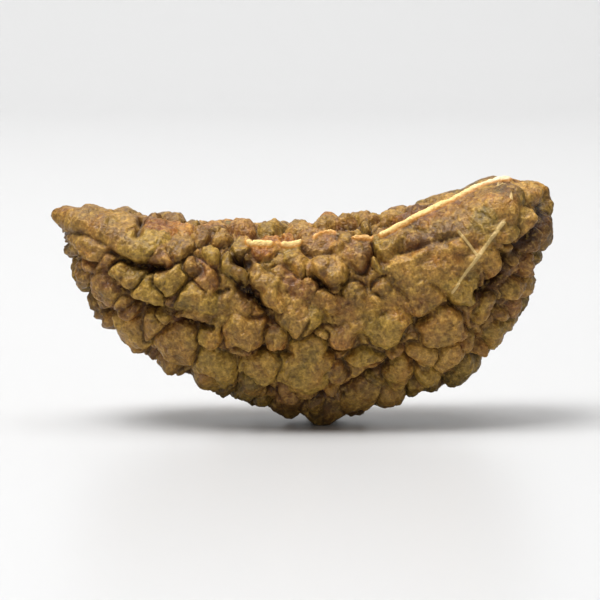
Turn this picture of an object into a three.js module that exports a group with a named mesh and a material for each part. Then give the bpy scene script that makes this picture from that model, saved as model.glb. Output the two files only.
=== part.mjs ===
// One-face rudraksha bead of the cashew shape. One hard seed stone, curved, concave side up,
// its whole surface built of packed knobs with deep creases between them.
// Millimetres. X runs along the bead (beak left, round lobe right), Y through it, Z up.
// The origin is the middle of the small flat spot on the lowest knob.

import * as THREE from "three";

// Every cross section of the body lies in a plane through one line along Y above the bead.
const fanX = -1;
const fanZ = 34;

// Body under the knobs. Angle from straight down in degrees (beak side negative), distance
// from the line to the concave face and to the outer rim, and half the thickness.
const stations = [
  [-35.6, 25.75, 25.95, 0.35],
  [-34.3, 25.35, 25.75, 0.85],
  [-32.6, 25.0, 25.7, 1.5],
  [-30.8, 24.6, 26.1, 2.3],
  [-28.5, 24.3, 27.3, 3.1],
  [-25, 23.85, 28.3, 3.9],
  [-21, 23.4, 29.6, 4.4],
  [-16.5, 23.15, 30.3, 4.7],
  [-11, 22.7, 31.05, 4.9],
  [-5, 22.35, 31.85, 4.95],
  [1.5, 22.3, 32.5, 4.95],
  [7, 22.1, 32.4, 4.95],
  [12, 22.3, 32.1, 4.9],
  [18, 22.4, 31.9, 4.8],
  [22, 22.55, 30.75, 4.65],
  [26, 22.8, 29.6, 4.5],
  [29, 22.95, 28.0, 4.3],
  [31, 23.0, 27.2, 4.2],
  [34, 23.1, 26.8, 4.1],
  [38, 23.2, 26.4, 4.0],
];
const beakEnd = -35.6;
const beakRound = 0.7;

// The relief fades towards the tip of the beak: over how many degrees, and what is left of it.
const beakFade = 4.5;
const beakKeep = 0.2;
const lobeEnd = 35.7;
const lobeRound = 6;

// The widest part of a section lies nearer the concave face, which is flatter.
const widestShare = 0.38;
const innerPower = 2.7;
const outerPower = 2.1;

// Shallow trough along the concave face.
const troughDepth = 0.45;
const troughHalf = 1.8;
const troughFrom = 0.3;
const troughFull = 0.9;
const troughThickness = 4;

// Positions of the front features are given as seen from the front, a little above level.
const sightTilt = 6;

// Middle of the flat spot. It becomes the origin, and lies under the centre of mass.
const restX = 0.48;
const restY = 0.05;

// The blunt point that the bead stands on: half sizes of its flat spot, how steeply it rises to
// the left, to the right and to the front and back, and how high up it is looked for.
const flatX = 1.42;
const flatY = 2.2;
const leftSlope = 1.4;
const rightSlope = 0.8;
const endSlope = 1.1;
const footTop = 2.2;

// Knobs seen from the front: x, z, half length, half width, angle, height, squareness.
const frontKnobs = [
  [-13.4, 12.8, 2.2, 0.6, -1, 0.5, 2.8],
  [-14.2, 11.8, 1.5, 0.45, -33, 0.5, 2.4],
  [-12.6, 12.1, 1.1, 0.65, -20, 0.6, 2.4],
  [-11.5, 11.9, 1.1, 0.55, -60, 0.75, 2.4],
  [-10.9, 12.75, 1.0, 0.4, -5, 0.65, 2.4],
  [-9.6, 11.6, 0.8, 0.9, 0, 0.7, 2.8],
  [-8.2, 11.7, 1.0, 0.75, -20, 0.75, 2.6],
  [-8.8, 12.7, 0.9, 0.45, 0, 0.6, 2.4],
  [-10.2, 13.1, 0.35, 0.3, 0, 0.6, 2.2],
  [-10.1, 10.6, 1.15, 0.75, -15, 0.6, 2.8],
  [-12.9, 10.45, 0.75, 0.45, 10, 0.65, 2.4],
  [-13.6, 10.9, 0.6, 0.35, -75, 0.5, 2.2],
  [-14.7, 10.7, 0.5, 0.5, 0, 0.55, 2.4],
  [-15.0, 9.85, 0.65, 0.5, 10, 0.75, 2.4],
  [-15.1, 11.5, 0.5, 0.35, 80, 0.5, 2.2],
  [-12.3, 9.9, 0.7, 0.45, 20, 0.5, 2.4],
  [-14.1, 8.2, 1.05, 0.8, -55, 0.8, 2.6],
  [-12.5, 8.65, 1.8, 0.5, -32, 0.8, 2.5],
  [-12.3, 7.8, 0.9, 0.4, -15, 0.55, 2.4],
  [-11.3, 9.15, 1.2, 0.5, -5, 0.75, 2.5],
  [-10.0, 8.3, 1.0, 0.62, -45, 0.8, 2.5],
  [-8.6, 8.85, 1.1, 0.6, 25, 0.75, 2.5],
  [-9.2, 10.0, 0.8, 0.45, -25, 0.55, 2.4],
  [-7.9, 10.4, 0.7, 0.7, 0, 0.5, 2.4],
  [-6.8, 11.0, 1.0, 0.55, 85, 0.65, 2.4],
  [-7.4, 9.5, 0.8, 0.5, -30, 0.6, 2.4],
  [-6.5, 9.0, 0.8, 0.6, 30, 0.6, 2.4],
  [-6.9, 7.75, 1.35, 0.55, 0, 0.95, 2.6],
  [-8.3, 7.6, 0.6, 0.5, 0, 0.6, 2.4],
  [-7.1, 6.95, 1.5, 0.35, 0, 0.6, 2.4],
  [-5.5, 7.55, 0.42, 0.36, 0, 0.6, 2.2],
  [-10.85, 6.3, 1.15, 1.05, -20, 0.95, 2.6],
  [-9.55, 6.3, 0.55, 0.8, 0, 0.75, 2.6],
  [-8.9, 6.9, 0.32, 0.3, 0, 0.7, 2.2],
  [-12.6, 6.6, 0.75, 0.55, -60, 0.65, 2.4],
  [-10.2, 4.5, 1.0, 0.8, -25, 0.65, 2.4],
  [-7.9, 5.2, 1.2, 1.15, 0, 0.9, 2.6],
  [-6.2, 5.9, 0.9, 0.6, 50, 0.7, 2.4],
  [-5.7, 4.1, 1.5, 1.05, -40, 0.9, 2.6],
  [-8.4, 3.2, 1.35, 0.6, -12, 0.55, 2.4],
  [-6.2, 2.3, 0.85, 0.6, -20, 0.6, 2.4],
  [-4.0, 6.0, 1.1, 0.9, 10, 0.85, 2.6],
  [-4.4, 4.95, 0.6, 0.4, 0, 0.5, 2.4],
  [-2.9, 3.8, 1.25, 0.85, 0, 0.85, 2.6],
  [-3.6, 1.9, 1.6, 0.85, -8, 0.7, 2.4],
  [-5.0, 9.5, 1.0, 0.5, -65, 0.7, 2.3],
  [-5.5, 10.8, 0.8, 0.5, 70, 0.6, 2.4],
  [-4.2, 10.5, 0.9, 0.6, -80, 0.7, 2.4],
  [-2.8, 10.4, 0.9, 0.75, 80, 0.75, 2.5],
  [-1.6, 10.7, 0.6, 0.5, 0, 0.6, 2.4],
  [-1.3, 9.8, 1.05, 0.5, -70, 0.75, 2.3],
  [0.1, 10.85, 0.95, 0.75, 0, 0.8, 2.6],
  [1.0, 9.2, 0.85, 0.82, 0, 1.0, 2.4],
  [-0.3, 9.2, 0.25, 0.32, 0, 0.6, 2.2],
  [-2.6, 8.5, 1.6, 0.5, -58, 1.25, 2.5],
  [-0.8, 8.3, 1.2, 0.55, -18, 0.65, 2.6],
  [-1.3, 6.6, 1.35, 0.85, -42, 0.9, 2.8],
  [-0.1, 6.5, 0.7, 0.9, 0, 0.8, 2.5],
  [-2.1, 5.5, 0.75, 0.65, 0, 0.7, 2.4],
  [1.0, 7.5, 1.1, 0.6, 5, 0.75, 2.5],
  [2.5, 8.1, 0.75, 0.6, -20, 0.6, 2.4],
  [-0.5, 3.75, 1.6, 1.35, 75, 1.0, 2.6],
  [0.1, 1.05, 0.95, 0.8, 50, 0.75, 2.2],
  [1.5, 1.7, 0.8, 0.5, -75, 0.65, 2.3],
  [2.95, 2.1, 1.15, 1.1, 10, 0.8, 2.5],
  [1.35, 3.5, 0.75, 0.5, 70, 0.55, 2.4],
  [1.6, 5.5, 0.95, 0.6, -10, 0.75, 2.6],
  [0.55, 5.8, 0.38, 0.35, 0, 0.7, 2.2],
  [2.9, 4.45, 1.2, 0.55, 5, 0.7, 2.4],
  [4.6, 6.2, 1.2, 0.9, 10, 0.85, 2.5],
  [2.9, 6.5, 0.85, 0.6, 60, 0.65, 2.4],
  [5.15, 3.6, 0.95, 0.7, 70, 0.8, 2.4],
  [4.95, 2.0, 1.05, 0.9, 15, 0.7, 2.4],
  [6.35, 4.8, 0.8, 0.6, -10, 0.75, 2.5],
  [8.2, 4.8, 0.85, 0.65, 0, 0.75, 2.5],
  [7.2, 3.0, 1.1, 0.7, 10, 0.6, 2.4],
  [9.3, 3.6, 0.85, 0.8, 40, 0.7, 2.4],
  [8.0, 6.4, 1.2, 1.0, -20, 0.8, 2.6],
  [9.2, 5.4, 0.7, 0.4, 60, 0.7, 2.3],
  [10.9, 6.1, 1.1, 0.85, 30, 0.85, 2.5],
  [10.4, 4.6, 0.8, 0.7, 50, 0.65, 2.4],
  [11.75, 7.4, 0.75, 0.55, 40, 0.7, 2.4],
  [12.7, 7.6, 1.55, 0.6, 75, 0.75, 2.4],
  [6.3, 8.0, 1.15, 1.1, 0, 0.65, 3.2],
  [5.5, 9.3, 0.9, 0.6, 10, 0.6, 3.2],
  [7.7, 9.5, 1.2, 0.7, 20, 0.6, 3.2],
  [3.85, 7.7, 0.42, 0.28, 65, 0.6, 2.2],
  [4.3, 8.5, 0.8, 0.5, 20, 0.5, 2.8],
  [2.8, 10.5, 1.2, 0.62, 85, 0.75, 2.5],
  [1.8, 10.6, 0.9, 0.4, 80, 0.6, 2.3],
  [4.9, 10.9, 1.0, 0.9, 0, 0.7, 3.0],
  [6.6, 12.1, 1.0, 0.7, 0, 0.65, 3.2],
  [6.6, 10.7, 1.0, 0.5, 10, 0.6, 3.0],
  [8.4, 12.9, 1.2, 0.9, 25, 0.6, 3.2],
  [10.2, 13.4, 0.9, 0.9, 0, 0.65, 3.2],
  [8.6, 11.3, 1.0, 0.6, -20, 0.55, 3.0],
  [10.2, 11.8, 0.9, 0.7, 50, 0.55, 3.0],
  [11.6, 12.9, 0.7, 0.6, 0, 0.6, 2.6],
  [9.0, 8.2, 1.0, 0.8, 45, 0.6, 3.0],
  [10.7, 9.9, 0.9, 0.45, 80, 0.65, 2.4],
  [10.2, 7.4, 0.8, 0.55, 50, 0.6, 2.6],
  [11.6, 11.6, 0.7, 0.5, 50, 0.55, 2.6],
  [12.4, 9.9, 0.95, 0.75, 20, 0.8, 2.5],
  [13.8, 12.0, 1.5, 0.8, 80, 0.8, 2.4],
  [13.3, 14.1, 1.05, 0.85, -50, 0.8, 2.5],
  [12.2, 14.3, 0.6, 0.55, 0, 0.65, 2.4],
];

// Knobs along the back of the concave face, which show above the front edge: x, y, half
// length, half width, angle, height, squareness.
const topKnobs = [
  [-13.0, 1.2, 1.4, 0.8, 5, 0.3, 2.6],
  [-8.9, 3.3, 1.0, 0.8, 0, 0.4, 2.5],
  [-5.2, 3.3, 1.1, 0.9, 5, 0.95, 3.0],
  [-2.9, 3.4, 0.95, 0.9, 0, 0.85, 2.6],
  [-0.8, 3.4, 0.75, 0.8, 20, 1.0, 2.3],
  [1.15, 3.2, 0.75, 0.9, 0, 1.35, 2.6],
  [3.2, 3.4, 1.05, 0.8, 10, 1.0, 2.5],
  [5.5, 3.3, 1.0, 0.8, 0, 1.15, 2.8],
  [7.3, 3.2, 1.1, 0.8, -10, 1.0, 2.8],
  [9.2, 3.0, 1.1, 0.8, 0, 0.8, 2.8],
  [11.0, 2.6, 1.1, 0.9, 0, 0.75, 2.8],
];

// Sunk lines and hollows on the front: half width, depth, then x, z along the line.
const furrows = [
  [0.16, 0.5, -12.1, 10.5, -11.4, 10.05, -10.6, 9.75, -10.2, 9.65],
  [0.26, 0.75, -10.3, 9.65, -9.8, 9.45, -9.1, 9.5],
  [0.15, 0.35, -10.1, 12.75, -9.9, 12.4],
  [0.16, 0.45, -13.8, 9.8, -12.9, 9.5, -12.1, 9.75, -11.5, 10.05],
  [0.14, 0.45, -11.4, 8.6, -10.8, 7.95, -10.3, 7.55],
  [0.14, 0.4, -13.7, 8.8, -13.3, 8.1, -13.0, 7.5],
  [0.17, 0.5, -13.0, 7.3, -12.0, 7.3, -10.7, 7.65, -9.9, 7.35, -9.2, 7.4],
  [0.12, 0.3, -15.2, 12.45, -14.2, 11.9, -13.3, 11.35, -12.3, 10.8],
  [0.12, 0.3, -14.9, 11.5, -14.4, 10.9, -13.9, 10.5],
  [0.22, 0.5, -10.55, 11.9, -10.65, 11.1],
  [0.16, 0.45, -7.8, 6.7, -7.2, 6.35, -6.0, 6.2],
  [0.18, 0.45, -8.9, 3.8, -7.2, 3.75],
  [0.22, 0.45, -5.7, 8.05, -5.2, 8.2],
  [0.28, 0.6, -4.7, 9.7, -3.9, 9.5],
  [0.3, 0.65, -4.4, 8.5, -3.8, 8.0],
  [0.22, 0.6, -3.8, 8.0, -3.4, 7.7, -2.9, 7.1, -2.5, 6.5],
  [0.16, 0.45, -1.0, 10.8, -0.7, 10.2, -0.1, 9.9, 1.2, 10.1],
  [0.18, 0.5, 0.1, 8.8, 0.5, 8.4, 1.0, 8.25, 1.7, 8.5],
  [0.16, 0.45, 3.8, 11.3, 3.4, 10.9, 3.8, 10.1, 4.2, 9.4],
  [0.17, 0.5, -1.9, 2.1, -1.0, 2.05, 0.4, 2.2, 2.0, 2.8, 3.2, 3.45, 4.3, 3.8, 4.9, 4.5],
  [0.17, 0.45, 0.9, 4.75, 2.1, 4.8],
  [0.15, 0.4, 5.8, 4.1, 6.8, 3.95],
  [0.2, 0.4, 6.2, 6.3, 6.9, 6.8],
  [0.24, 0.7, 14.1, 14.0, 13.3, 12.6, 12.8, 12.1, 12.3, 11.4, 11.9, 10.8, 11.4, 10.5],
  [0.24, 0.7, 11.4, 10.5, 11.3, 9.8, 11.0, 9.2, 10.2, 8.3, 9.7, 8.15],
  [0.14, 0.3, 5.0, 10.2, 6.2, 10.45, 7.6, 10.95, 8.9, 11.25],
  [0.14, 0.3, 4.4, 8.9, 5.3, 8.1, 5.9, 7.3],
  [0.14, 0.3, 7.2, 8.6, 8.0, 7.9, 8.3, 7.4],
  [0.2, 0.6, 10.1, 6.3, 10.6, 7.1, 11.2, 7.8, 11.8, 8.2],
  [0.16, 0.4, 9.6, 5.6, 9.9, 4.6, 10.0, 4.2],
  [0.16, 0.4, -9.3, 5.4, -10.2, 5.2, -10.5, 5.0],
  [0.14, 0.4, -12.1, 7.2, -12.0, 6.4],
  [0.14, 0.4, 8.0, 4.0, 8.8, 4.3],
  [0.15, 0.4, -3.6, 4.9, -2.0, 4.75, -1.3, 4.6],
  [0.13, 0.4, -5.0, 2.5, -4.2, 2.9, -4.1, 4.2],
  [0.25, 0.5, -2.7, 2.6, -1.9, 2.3],
];

// Raised lines on the front, given the same way.
const ridges = [
  [0.16, 0.16, 11.4, 14.8, 11.35, 14.1, 12.05, 13.9, 11.75, 13.2],
  [0.17, 0.2, 11.35, 12.25, 10.6, 11.3, 9.9, 10.35, 9.4, 9.7, 8.6, 8.75, 8.2, 8.2],
  [0.16, 0.18, 8.9, 11.4, 9.4, 10.9, 9.8, 10.35],
  [0.16, 0.15, -7.8, 8.1, -6.1, 8.1],
  [0.18, 0.2, -1.5, 4.3, -1.6, 3.4],
  [0.2, 0.2, 4.6, 9.45, 5.6, 9.75, 6.8, 10.2, 8.0, 10.55, 9.2, 10.7],
  [0.16, 0.15, 1.4, 2.3, 1.5, 1.8, 1.8, 1.3],
  [0.15, 0.15, 6.4, 3.2, 7.0, 3.7],
  [0.15, 0.15, 7.6, 4.0, 8.5, 3.2],
  [0.17, 0.18, -3.3, 9.3, -2.9, 9.5, -2.4, 9.2, -1.8, 8.3],
  [0.17, 0.2, -15.4, 12.3, -14.6, 11.75, -13.4, 11.15, -12.9, 10.8],
  [0.14, 0.14, -15.2, 11.9, -14.6, 11.1, -14.3, 10.4],
];

// The single face line of the bead, along the front edge of the concave face: x, y by turns.
// It is a thin ridge in a smooth bed.
const faceLine = [
  -4.4, -3.9, -3.0, -3.9, -1.5, -3.85, -0.4, -3.7, 0.6, -3.3, 1.3, -3.2, 2.2, -3.8,
  3.8, -3.9, 5.5, -3.5, 7.0, -3.0, 8.6, -2.5, 10.2, -2.0, 11.6, -1.5, 12.6, -0.9,
];
const faceLineHalf = 0.25;
const faceLineHeight = 0.34;
const faceLineBed = 0.6;
const faceLineBedHalf = 0.6;

// Dips of the far rim between its knobs: x, half width, depth.
const rimDips = [
  [-10.9, 0.5, 0.35],
  [-7.0, 0.6, 0.5],
  [-3.9, 0.4, 0.3],
  [0.15, 0.4, 0.8],
  [2.0, 0.4, 0.35],
  [4.3, 0.45, 0.9],
  [6.4, 0.4, 0.3],
];
const dipFrom = 0.5;

// Calmer areas of the front, where the knobs are pressed into plates: x, z, half length, half
// width, angle, level, share.
const calmAreas = [
  [8.6, 12.1, 4.6, 1.5, 36, 0.4, 0.65],
  [7.4, 9.0, 3.4, 1.2, 30, 0.62, 0.7],
  [10.4, 12.2, 3.2, 1.2, 52, 0.45, 0.65],
  [-13.2, 12.0, 3.4, 1.2, -17, 0.42, 0.85],
  [-0.4, 3.8, 1.5, 1.3, 60, 0.85, 0.5],
  [-9.6, 11.7, 2.0, 1.1, -10, 0.5, 0.6],
  [-1.0, 7.8, 2.0, 0.9, -28, 0.62, 0.45],
  [0.2, 10.0, 2.4, 0.8, 0, 0.55, 0.4],
  [2.7, 6.9, 1.4, 1.2, 0, 0.6, 0.4],
  [-5.6, 7.3, 1.8, 1.0, 0, 0.55, 0.35],
];
const calmDepth = 2.5;

// The same along the far rim: x, y, then as above.
const rimCalmAreas = [
  [8.4, 3.1, 4.6, 1.5, -4, 0.9, 0.8],
];

// The listed knobs run into each other, and the squarest ones, the plates, the most. All of
// them are a little squarer than listed, and stand out more at their lower side.
const knobSpread = 1.4;
const plateSpread = 1.45;
const plateFrom = 2.9;
const squarer = 0.2;
const overhang = 0.45;

// A knob's edge counts this share of the height over or under its centre, and its sides are
// followed down to this many times its size.
const heightShare = 0.5;
const knobReach = 1.8;

// Filling knobs over the rest: radii tried in turn, how many tries each gets, and how close
// they may come to others. Towards the beak only small ones fit.
const fillRadii = [1.3, 1.15, 1.0, 0.85, 0.72, 0.6];
const fillTries = 1400;
const fillSeed = 20417;
const fillCloseness = 0.66;
const frontCloseness = 0.78;
const frontEdge = -1.8;
const farthestNeighbour = 4.5;
const endGap = 0.4;
const beakRadius = 0.3;
const beakGrowth = 0.12;

// Their form: how much longer than wide, the lowest height, what the radius and chance add to
// it, and the range of squareness.
const fillStretch = 0.6;
const fillHeight = 0.42;
const fillHeightGrowth = 0.3;
const fillHeightChance = 0.18;
const fillSquareness = 2.3;
const fillSquarenessRange = 0.7;

// The gaps between knobs go no deeper than this above the body, and creases are this soft.
const gapFloor = 0.12;
const gapDepth = 0.3;
const creaseSoftness = 0.16;

// Slow sideways drift that makes the outlines of the knobs uneven.
const driftSize = 0.22;

// Distance between neighbouring surface points along a ring, and the rings' share of it.
const pointSpacing = 0.452;
const ringShare = 0.9;
const fewestPoints = 5;

// Places are found in this many rounds, from these first guesses, and kept off the very ends.
const placingRounds = 12;
const frontDepth = -4;
const topHeight = 12;
const endMargin = 0.15;

const degree = Math.PI / 180;

function makeRandom(seed) {
  let state = seed;
  return () => {
    state = (state * 1664525 + 1013904223) % 4294967296;
    return state / 4294967296;
  };
}

// Smooth curve through the station values, in any column.
function stationValue(angle, column) {
  let i = 1;
  while (i < stations.length - 1 && stations[i][0] < angle) i += 1;
  const slope = (k) => {
    const before = stations[Math.max(k - 1, 0)];
    const after = stations[Math.min(k + 1, stations.length - 1)];
    return (after[column] - before[column]) / (after[0] - before[0]);
  };
  const [a, b] = [stations[i - 1], stations[i]];
  const width = b[0] - a[0];
  const s = (angle - a[0]) / width;
  const [s2, s3] = [s * s, s * s * s];
  return (
    (2 * s3 - 3 * s2 + 1) * a[column] +
    (s3 - 2 * s2 + s) * width * slope(i - 1) +
    (3 * s2 - 2 * s3) * b[column] +
    (s3 - s2) * width * slope(i)
  );
}

// How far the section has closed at either end, 1 along the middle and 0 at the end.
function endShare(angle) {
  const beak = Math.min(Math.max((beakEnd + beakRound - angle) / beakRound, 0), 1);
  const lobe = Math.min(Math.max((angle - lobeEnd + lobeRound) / lobeRound, 0), 1);
  return Math.sqrt((1 - beak * beak) * (1 - lobe * lobe));
}

function keptAngle(angle) {
  return Math.min(Math.max(angle, beakEnd + endMargin), lobeEnd - endMargin);
}

function sectionAt(angle) {
  const inner = stationValue(angle, 1);
  const outer = stationValue(angle, 2);
  const share = endShare(angle);
  const middle = (inner + outer) / 2;
  const half = ((outer - inner) / 2) * share;
  return {
    widest: middle - half + 2 * half * widestShare,
    inward: 2 * half * widestShare,
    outward: 2 * half * (1 - widestShare),
    thick: stationValue(angle, 3) * share,
  };
}

function bodyPoint(angle, turn) {
  const section = sectionAt(angle);
  const [c, s] = [Math.cos(turn), Math.sin(turn)];
  const power = s > 0 ? outerPower : innerPower;
  const reach = s > 0 ? section.outward : section.inward;
  const y = section.thick * Math.sign(c) * Math.abs(c) ** (2 / power);
  const distance = section.widest + reach * Math.sign(s) * Math.abs(s) ** (2 / power);
  return new THREE.Vector3(
    fanX + distance * Math.sin(angle * degree),
    y,
    fanZ - distance * Math.cos(angle * degree),
  );
}

// Level of the body shape at a point: below 1 inside, 1 on the surface.
function bodyLevel(angle, distance, y) {
  const section = sectionAt(angle);
  const outward = distance > section.widest;
  const power = outward ? outerPower : innerPower;
  const reach = outward ? section.outward : section.inward;
  return (
    Math.abs(y / section.thick) ** power +
    Math.abs((distance - section.widest) / reach) ** power
  );
}

function bodyNormal(point) {
  const [dx, dz] = [point.x - fanX, fanZ - point.z];
  const angle = Math.atan2(dx, dz) / degree;
  const distance = Math.hypot(dx, dz);
  const step = 1e-4;
  const low = Math.max(angle - step, beakEnd + 1e-6);
  const high = Math.min(angle + step, lobeEnd - 1e-6);
  const inside = Math.min(Math.max(angle, low), high);
  const level = (d, y) => bodyLevel(inside, d, y);
  const along =
    (bodyLevel(high, distance, point.y) - bodyLevel(low, distance, point.y)) /
    ((high - low) * degree * distance);
  const away = (level(distance + step, point.y) - level(distance - step, point.y)) / (2 * step);
  const across = (level(distance, point.y + step) - level(distance, point.y - step)) / (2 * step);
  const [sin, cos] = [Math.sin(angle * degree), Math.cos(angle * degree)];
  return new THREE.Vector3(
    away * sin + along * cos,
    across,
    -away * cos + along * sin,
  ).normalize();
}

// Front point that shows at x, z to the eye.
function frontPoint(x, z) {
  const tilt = sightTilt * degree;
  let depth = frontDepth;
  let height = z;
  for (let i = 0; i < placingRounds; i += 1) {
    height = (z - depth * Math.sin(tilt)) / Math.cos(tilt);
    const angle = Math.atan2(x - fanX, fanZ - height) / degree;
    const distance = Math.hypot(x - fanX, fanZ - height);
    const section = sectionAt(keptAngle(angle));
    const outward = distance > section.widest;
    const power = outward ? outerPower : innerPower;
    const reach = outward ? section.outward : section.inward;
    const part = Math.min(Math.abs((distance - section.widest) / reach), 1);
    depth = -section.thick * (1 - part ** power) ** (1 / power);
  }
  return toBody(new THREE.Vector3(x, depth, height));
}

// Point of the concave face at x, y.
function topPoint(x, y) {
  let angle = Math.atan2(x - fanX, fanZ - topHeight) / degree;
  let distance = fanZ - topHeight;
  for (let i = 0; i < placingRounds; i += 1) {
    const section = sectionAt(angle);
    const part = Math.min(Math.abs(y / section.thick), 1);
    distance = section.widest - section.inward * (1 - part ** innerPower) ** (1 / innerPower);
    const offset = x - fanX - distance * Math.sin(angle * degree);
    angle = keptAngle(angle + offset / distance / Math.cos(angle * degree) / degree);
  }
  return toBody(
    new THREE.Vector3(
      fanX + distance * Math.sin(angle * degree),
      y,
      fanZ - distance * Math.cos(angle * degree),
    ),
  );
}

// Nearest place of the body surface in the same section plane.
function toBody(point) {
  const [dx, dz] = [point.x - fanX, fanZ - point.z];
  const angle = keptAngle(Math.atan2(dx, dz) / degree);
  const section = sectionAt(angle);
  const offset = Math.hypot(dx, dz) - section.widest;
  const reach = offset > 0 ? section.outward : section.inward;
  const power = offset > 0 ? outerPower : innerPower;
  const level =
    (Math.abs(point.y / section.thick) ** power + Math.abs(offset / reach) ** power) **
    (1 / power);
  const distance = section.widest + offset / level;
  return new THREE.Vector3(
    fanX + distance * Math.sin(angle * degree),
    point.y / level,
    fanZ - distance * Math.cos(angle * degree),
  );
}

function drift(p) {
  return new THREE.Vector3(
    p.x + driftSize * (Math.sin(2.3 * p.y + 1.1 * p.z + 0.4) + 0.6 * Math.sin(4.1 * p.z - 2.2 * p.x)),
    p.y + driftSize * (Math.sin(2.1 * p.z + 1.7 * p.x + 2.1) + 0.6 * Math.sin(3.7 * p.x + 2.9 * p.y)),
    p.z + driftSize * (Math.sin(2.5 * p.x - 1.3 * p.y + 4.2) + 0.6 * Math.sin(4.4 * p.y - 1.9 * p.z)),
  );
}

function makeKnob(point, direction, half, width, height, power) {
  const normal = bodyNormal(point);
  const along = direction.clone().addScaledVector(normal, -direction.dot(normal)).normalize();
  const across = normal.clone().cross(along);
  const size = Math.max(half, width);
  const fall = [-along.z / size, -across.z / size];
  return { centre: drift(point), normal, along, across, fall, half, width, height, power };
}

function placedKnobs() {
  const front = frontKnobs.map(([x, z, half, width, angle, height, power]) => {
    const along = new THREE.Vector3(Math.cos(angle * degree), 0, Math.sin(angle * degree));
    const spread = power > plateFrom ? plateSpread : knobSpread;
    const [length, breadth] = [half * spread, width * spread];
    return makeKnob(frontPoint(x, z), along, length, breadth, height, power + squarer);
  });
  const top = topKnobs.map(([x, y, half, width, angle, height, power]) => {
    const along = new THREE.Vector3(Math.cos(angle * degree), Math.sin(angle * degree), 0);
    const [length, breadth] = [half * knobSpread, width * knobSpread];
    return makeKnob(topPoint(x, y), along, length, breadth, height, power + squarer);
  });
  return [...front, ...top];
}

// Distance from a knob's centre to its edge in the direction of a point.
function edgeDistance(knob, offset) {
  const u = offset.dot(knob.along) / knob.half;
  const v = offset.dot(knob.across) / knob.width;
  const w = offset.dot(knob.normal) / knob.width;
  return offset.length() / Math.max(Math.sqrt(u * u + v * v + w * w), 1e-9);
}

function fillKnobs(knobs) {
  const random = makeRandom(fillSeed);
  const [low, high] = [beakEnd + endGap, lobeEnd - endGap];
  for (const radius of fillRadii) {
    for (let i = 0; i < fillTries; i += 1) {
      const angle = low + (high - low) * random();
      const point = bodyPoint(angle, 2 * Math.PI * random());
      const stretch = 1 + fillStretch * random();
      const heading = new THREE.Vector3(random() - 0.5, random() - 0.5, random() - 0.5);
      const lift = fillHeight + fillHeightGrowth * radius + fillHeightChance * random();
      const square = fillSquareness + fillSquarenessRange * random();
      if (radius > beakRadius + beakGrowth * (angle - low)) continue;
      const centre = drift(point);
      const closeness = point.y < frontEdge ? frontCloseness : fillCloseness;
      const free = knobs.every((knob) => {
        const offset = centre.clone().sub(knob.centre);
        const away = offset.length();
        if (away > farthestNeighbour) return true;
        return away > closeness * (radius + edgeDistance(knob, offset));
      });
      if (!free) continue;
      const half = radius * Math.sqrt(stretch);
      const width = radius / Math.sqrt(stretch);
      knobs.push(makeKnob(point, heading, half, width, lift, square));
    }
  }
  return knobs;
}

// Height of the highest knob over a body point, run softly into the next one.
function knobHeight(point, knobs) {
  const moved = drift(point);
  let top = gapFloor;
  let next = gapFloor - gapDepth;
  for (const knob of knobs) {
    const offset = moved.clone().sub(knob.centre);
    if (offset.length() > knobReach * Math.max(knob.half, knob.width)) continue;
    const [a, b] = [offset.dot(knob.along), offset.dot(knob.across)];
    const [u, v] = [a / knob.half, b / knob.width];
    const w = offset.dot(knob.normal) / knob.width;
    const away = Math.sqrt(u * u + v * v + heightShare * w * w);
    const lower = Math.min(Math.max(a * knob.fall[0] + b * knob.fall[1], -1), 1);
    const height = knob.height * (1 + overhang * lower) * (1 - away ** knob.power);
    next = Math.max(next, Math.min(top, height));
    top = Math.max(top, height);
  }
  return top + creaseSoftness * Math.log1p(Math.exp((next - top) / creaseSoftness));
}

function lineDistance(point, line) {
  let nearest = Infinity;
  for (let i = 1; i < line.length; i += 1) {
    const span = line[i].clone().sub(line[i - 1]);
    const offset = point.clone().sub(line[i - 1]);
    const share = Math.min(Math.max(offset.dot(span) / span.lengthSq(), 0), 1);
    nearest = Math.min(nearest, offset.addScaledVector(span, -share).length());
  }
  return nearest;
}

function placeLines(rows) {
  return rows.map(([half, size, ...places]) => {
    const line = [];
    for (let i = 0; i < places.length; i += 2) {
      line.push(frontPoint(places[i], places[i + 1]));
    }
    return { half, size, line };
  });
}

function lineHeight(point, lines) {
  let most = 0;
  for (const { half, size, line } of lines) {
    const away = lineDistance(point, line) / half;
    most = Math.max(most, size * Math.exp(-away * away));
  }
  return most;
}

// Sinking of the trough that runs along the concave face.
function troughHeight(point) {
  const [dx, dz] = [point.x - fanX, fanZ - point.z];
  const section = sectionAt(Math.atan2(dx, dz) / degree);
  const share = (section.widest - Math.hypot(dx, dz)) / Math.max(section.inward, 0.01);
  const flat = Math.min(Math.max((share - troughFrom) / (troughFull - troughFrom), 0), 1);
  const deep = Math.min(section.thick / troughThickness, 1);
  return -troughDepth * flat * deep * Math.exp(-((point.y / troughHalf) ** 2));
}

function placeFaceLine() {
  const line = [];
  for (let i = 0; i < faceLine.length; i += 2) line.push(topPoint(faceLine[i], faceLine[i + 1]));
  return line;
}

function placeCalmAreas() {
  const front = calmAreas.map(([x, z, ...form]) => ({ centre: frontPoint(x, z), form }));
  const rim = rimCalmAreas.map(([x, y, ...form]) => ({ centre: topPoint(x, y), form, flat: true }));
  return [...front, ...rim];
}

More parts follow.
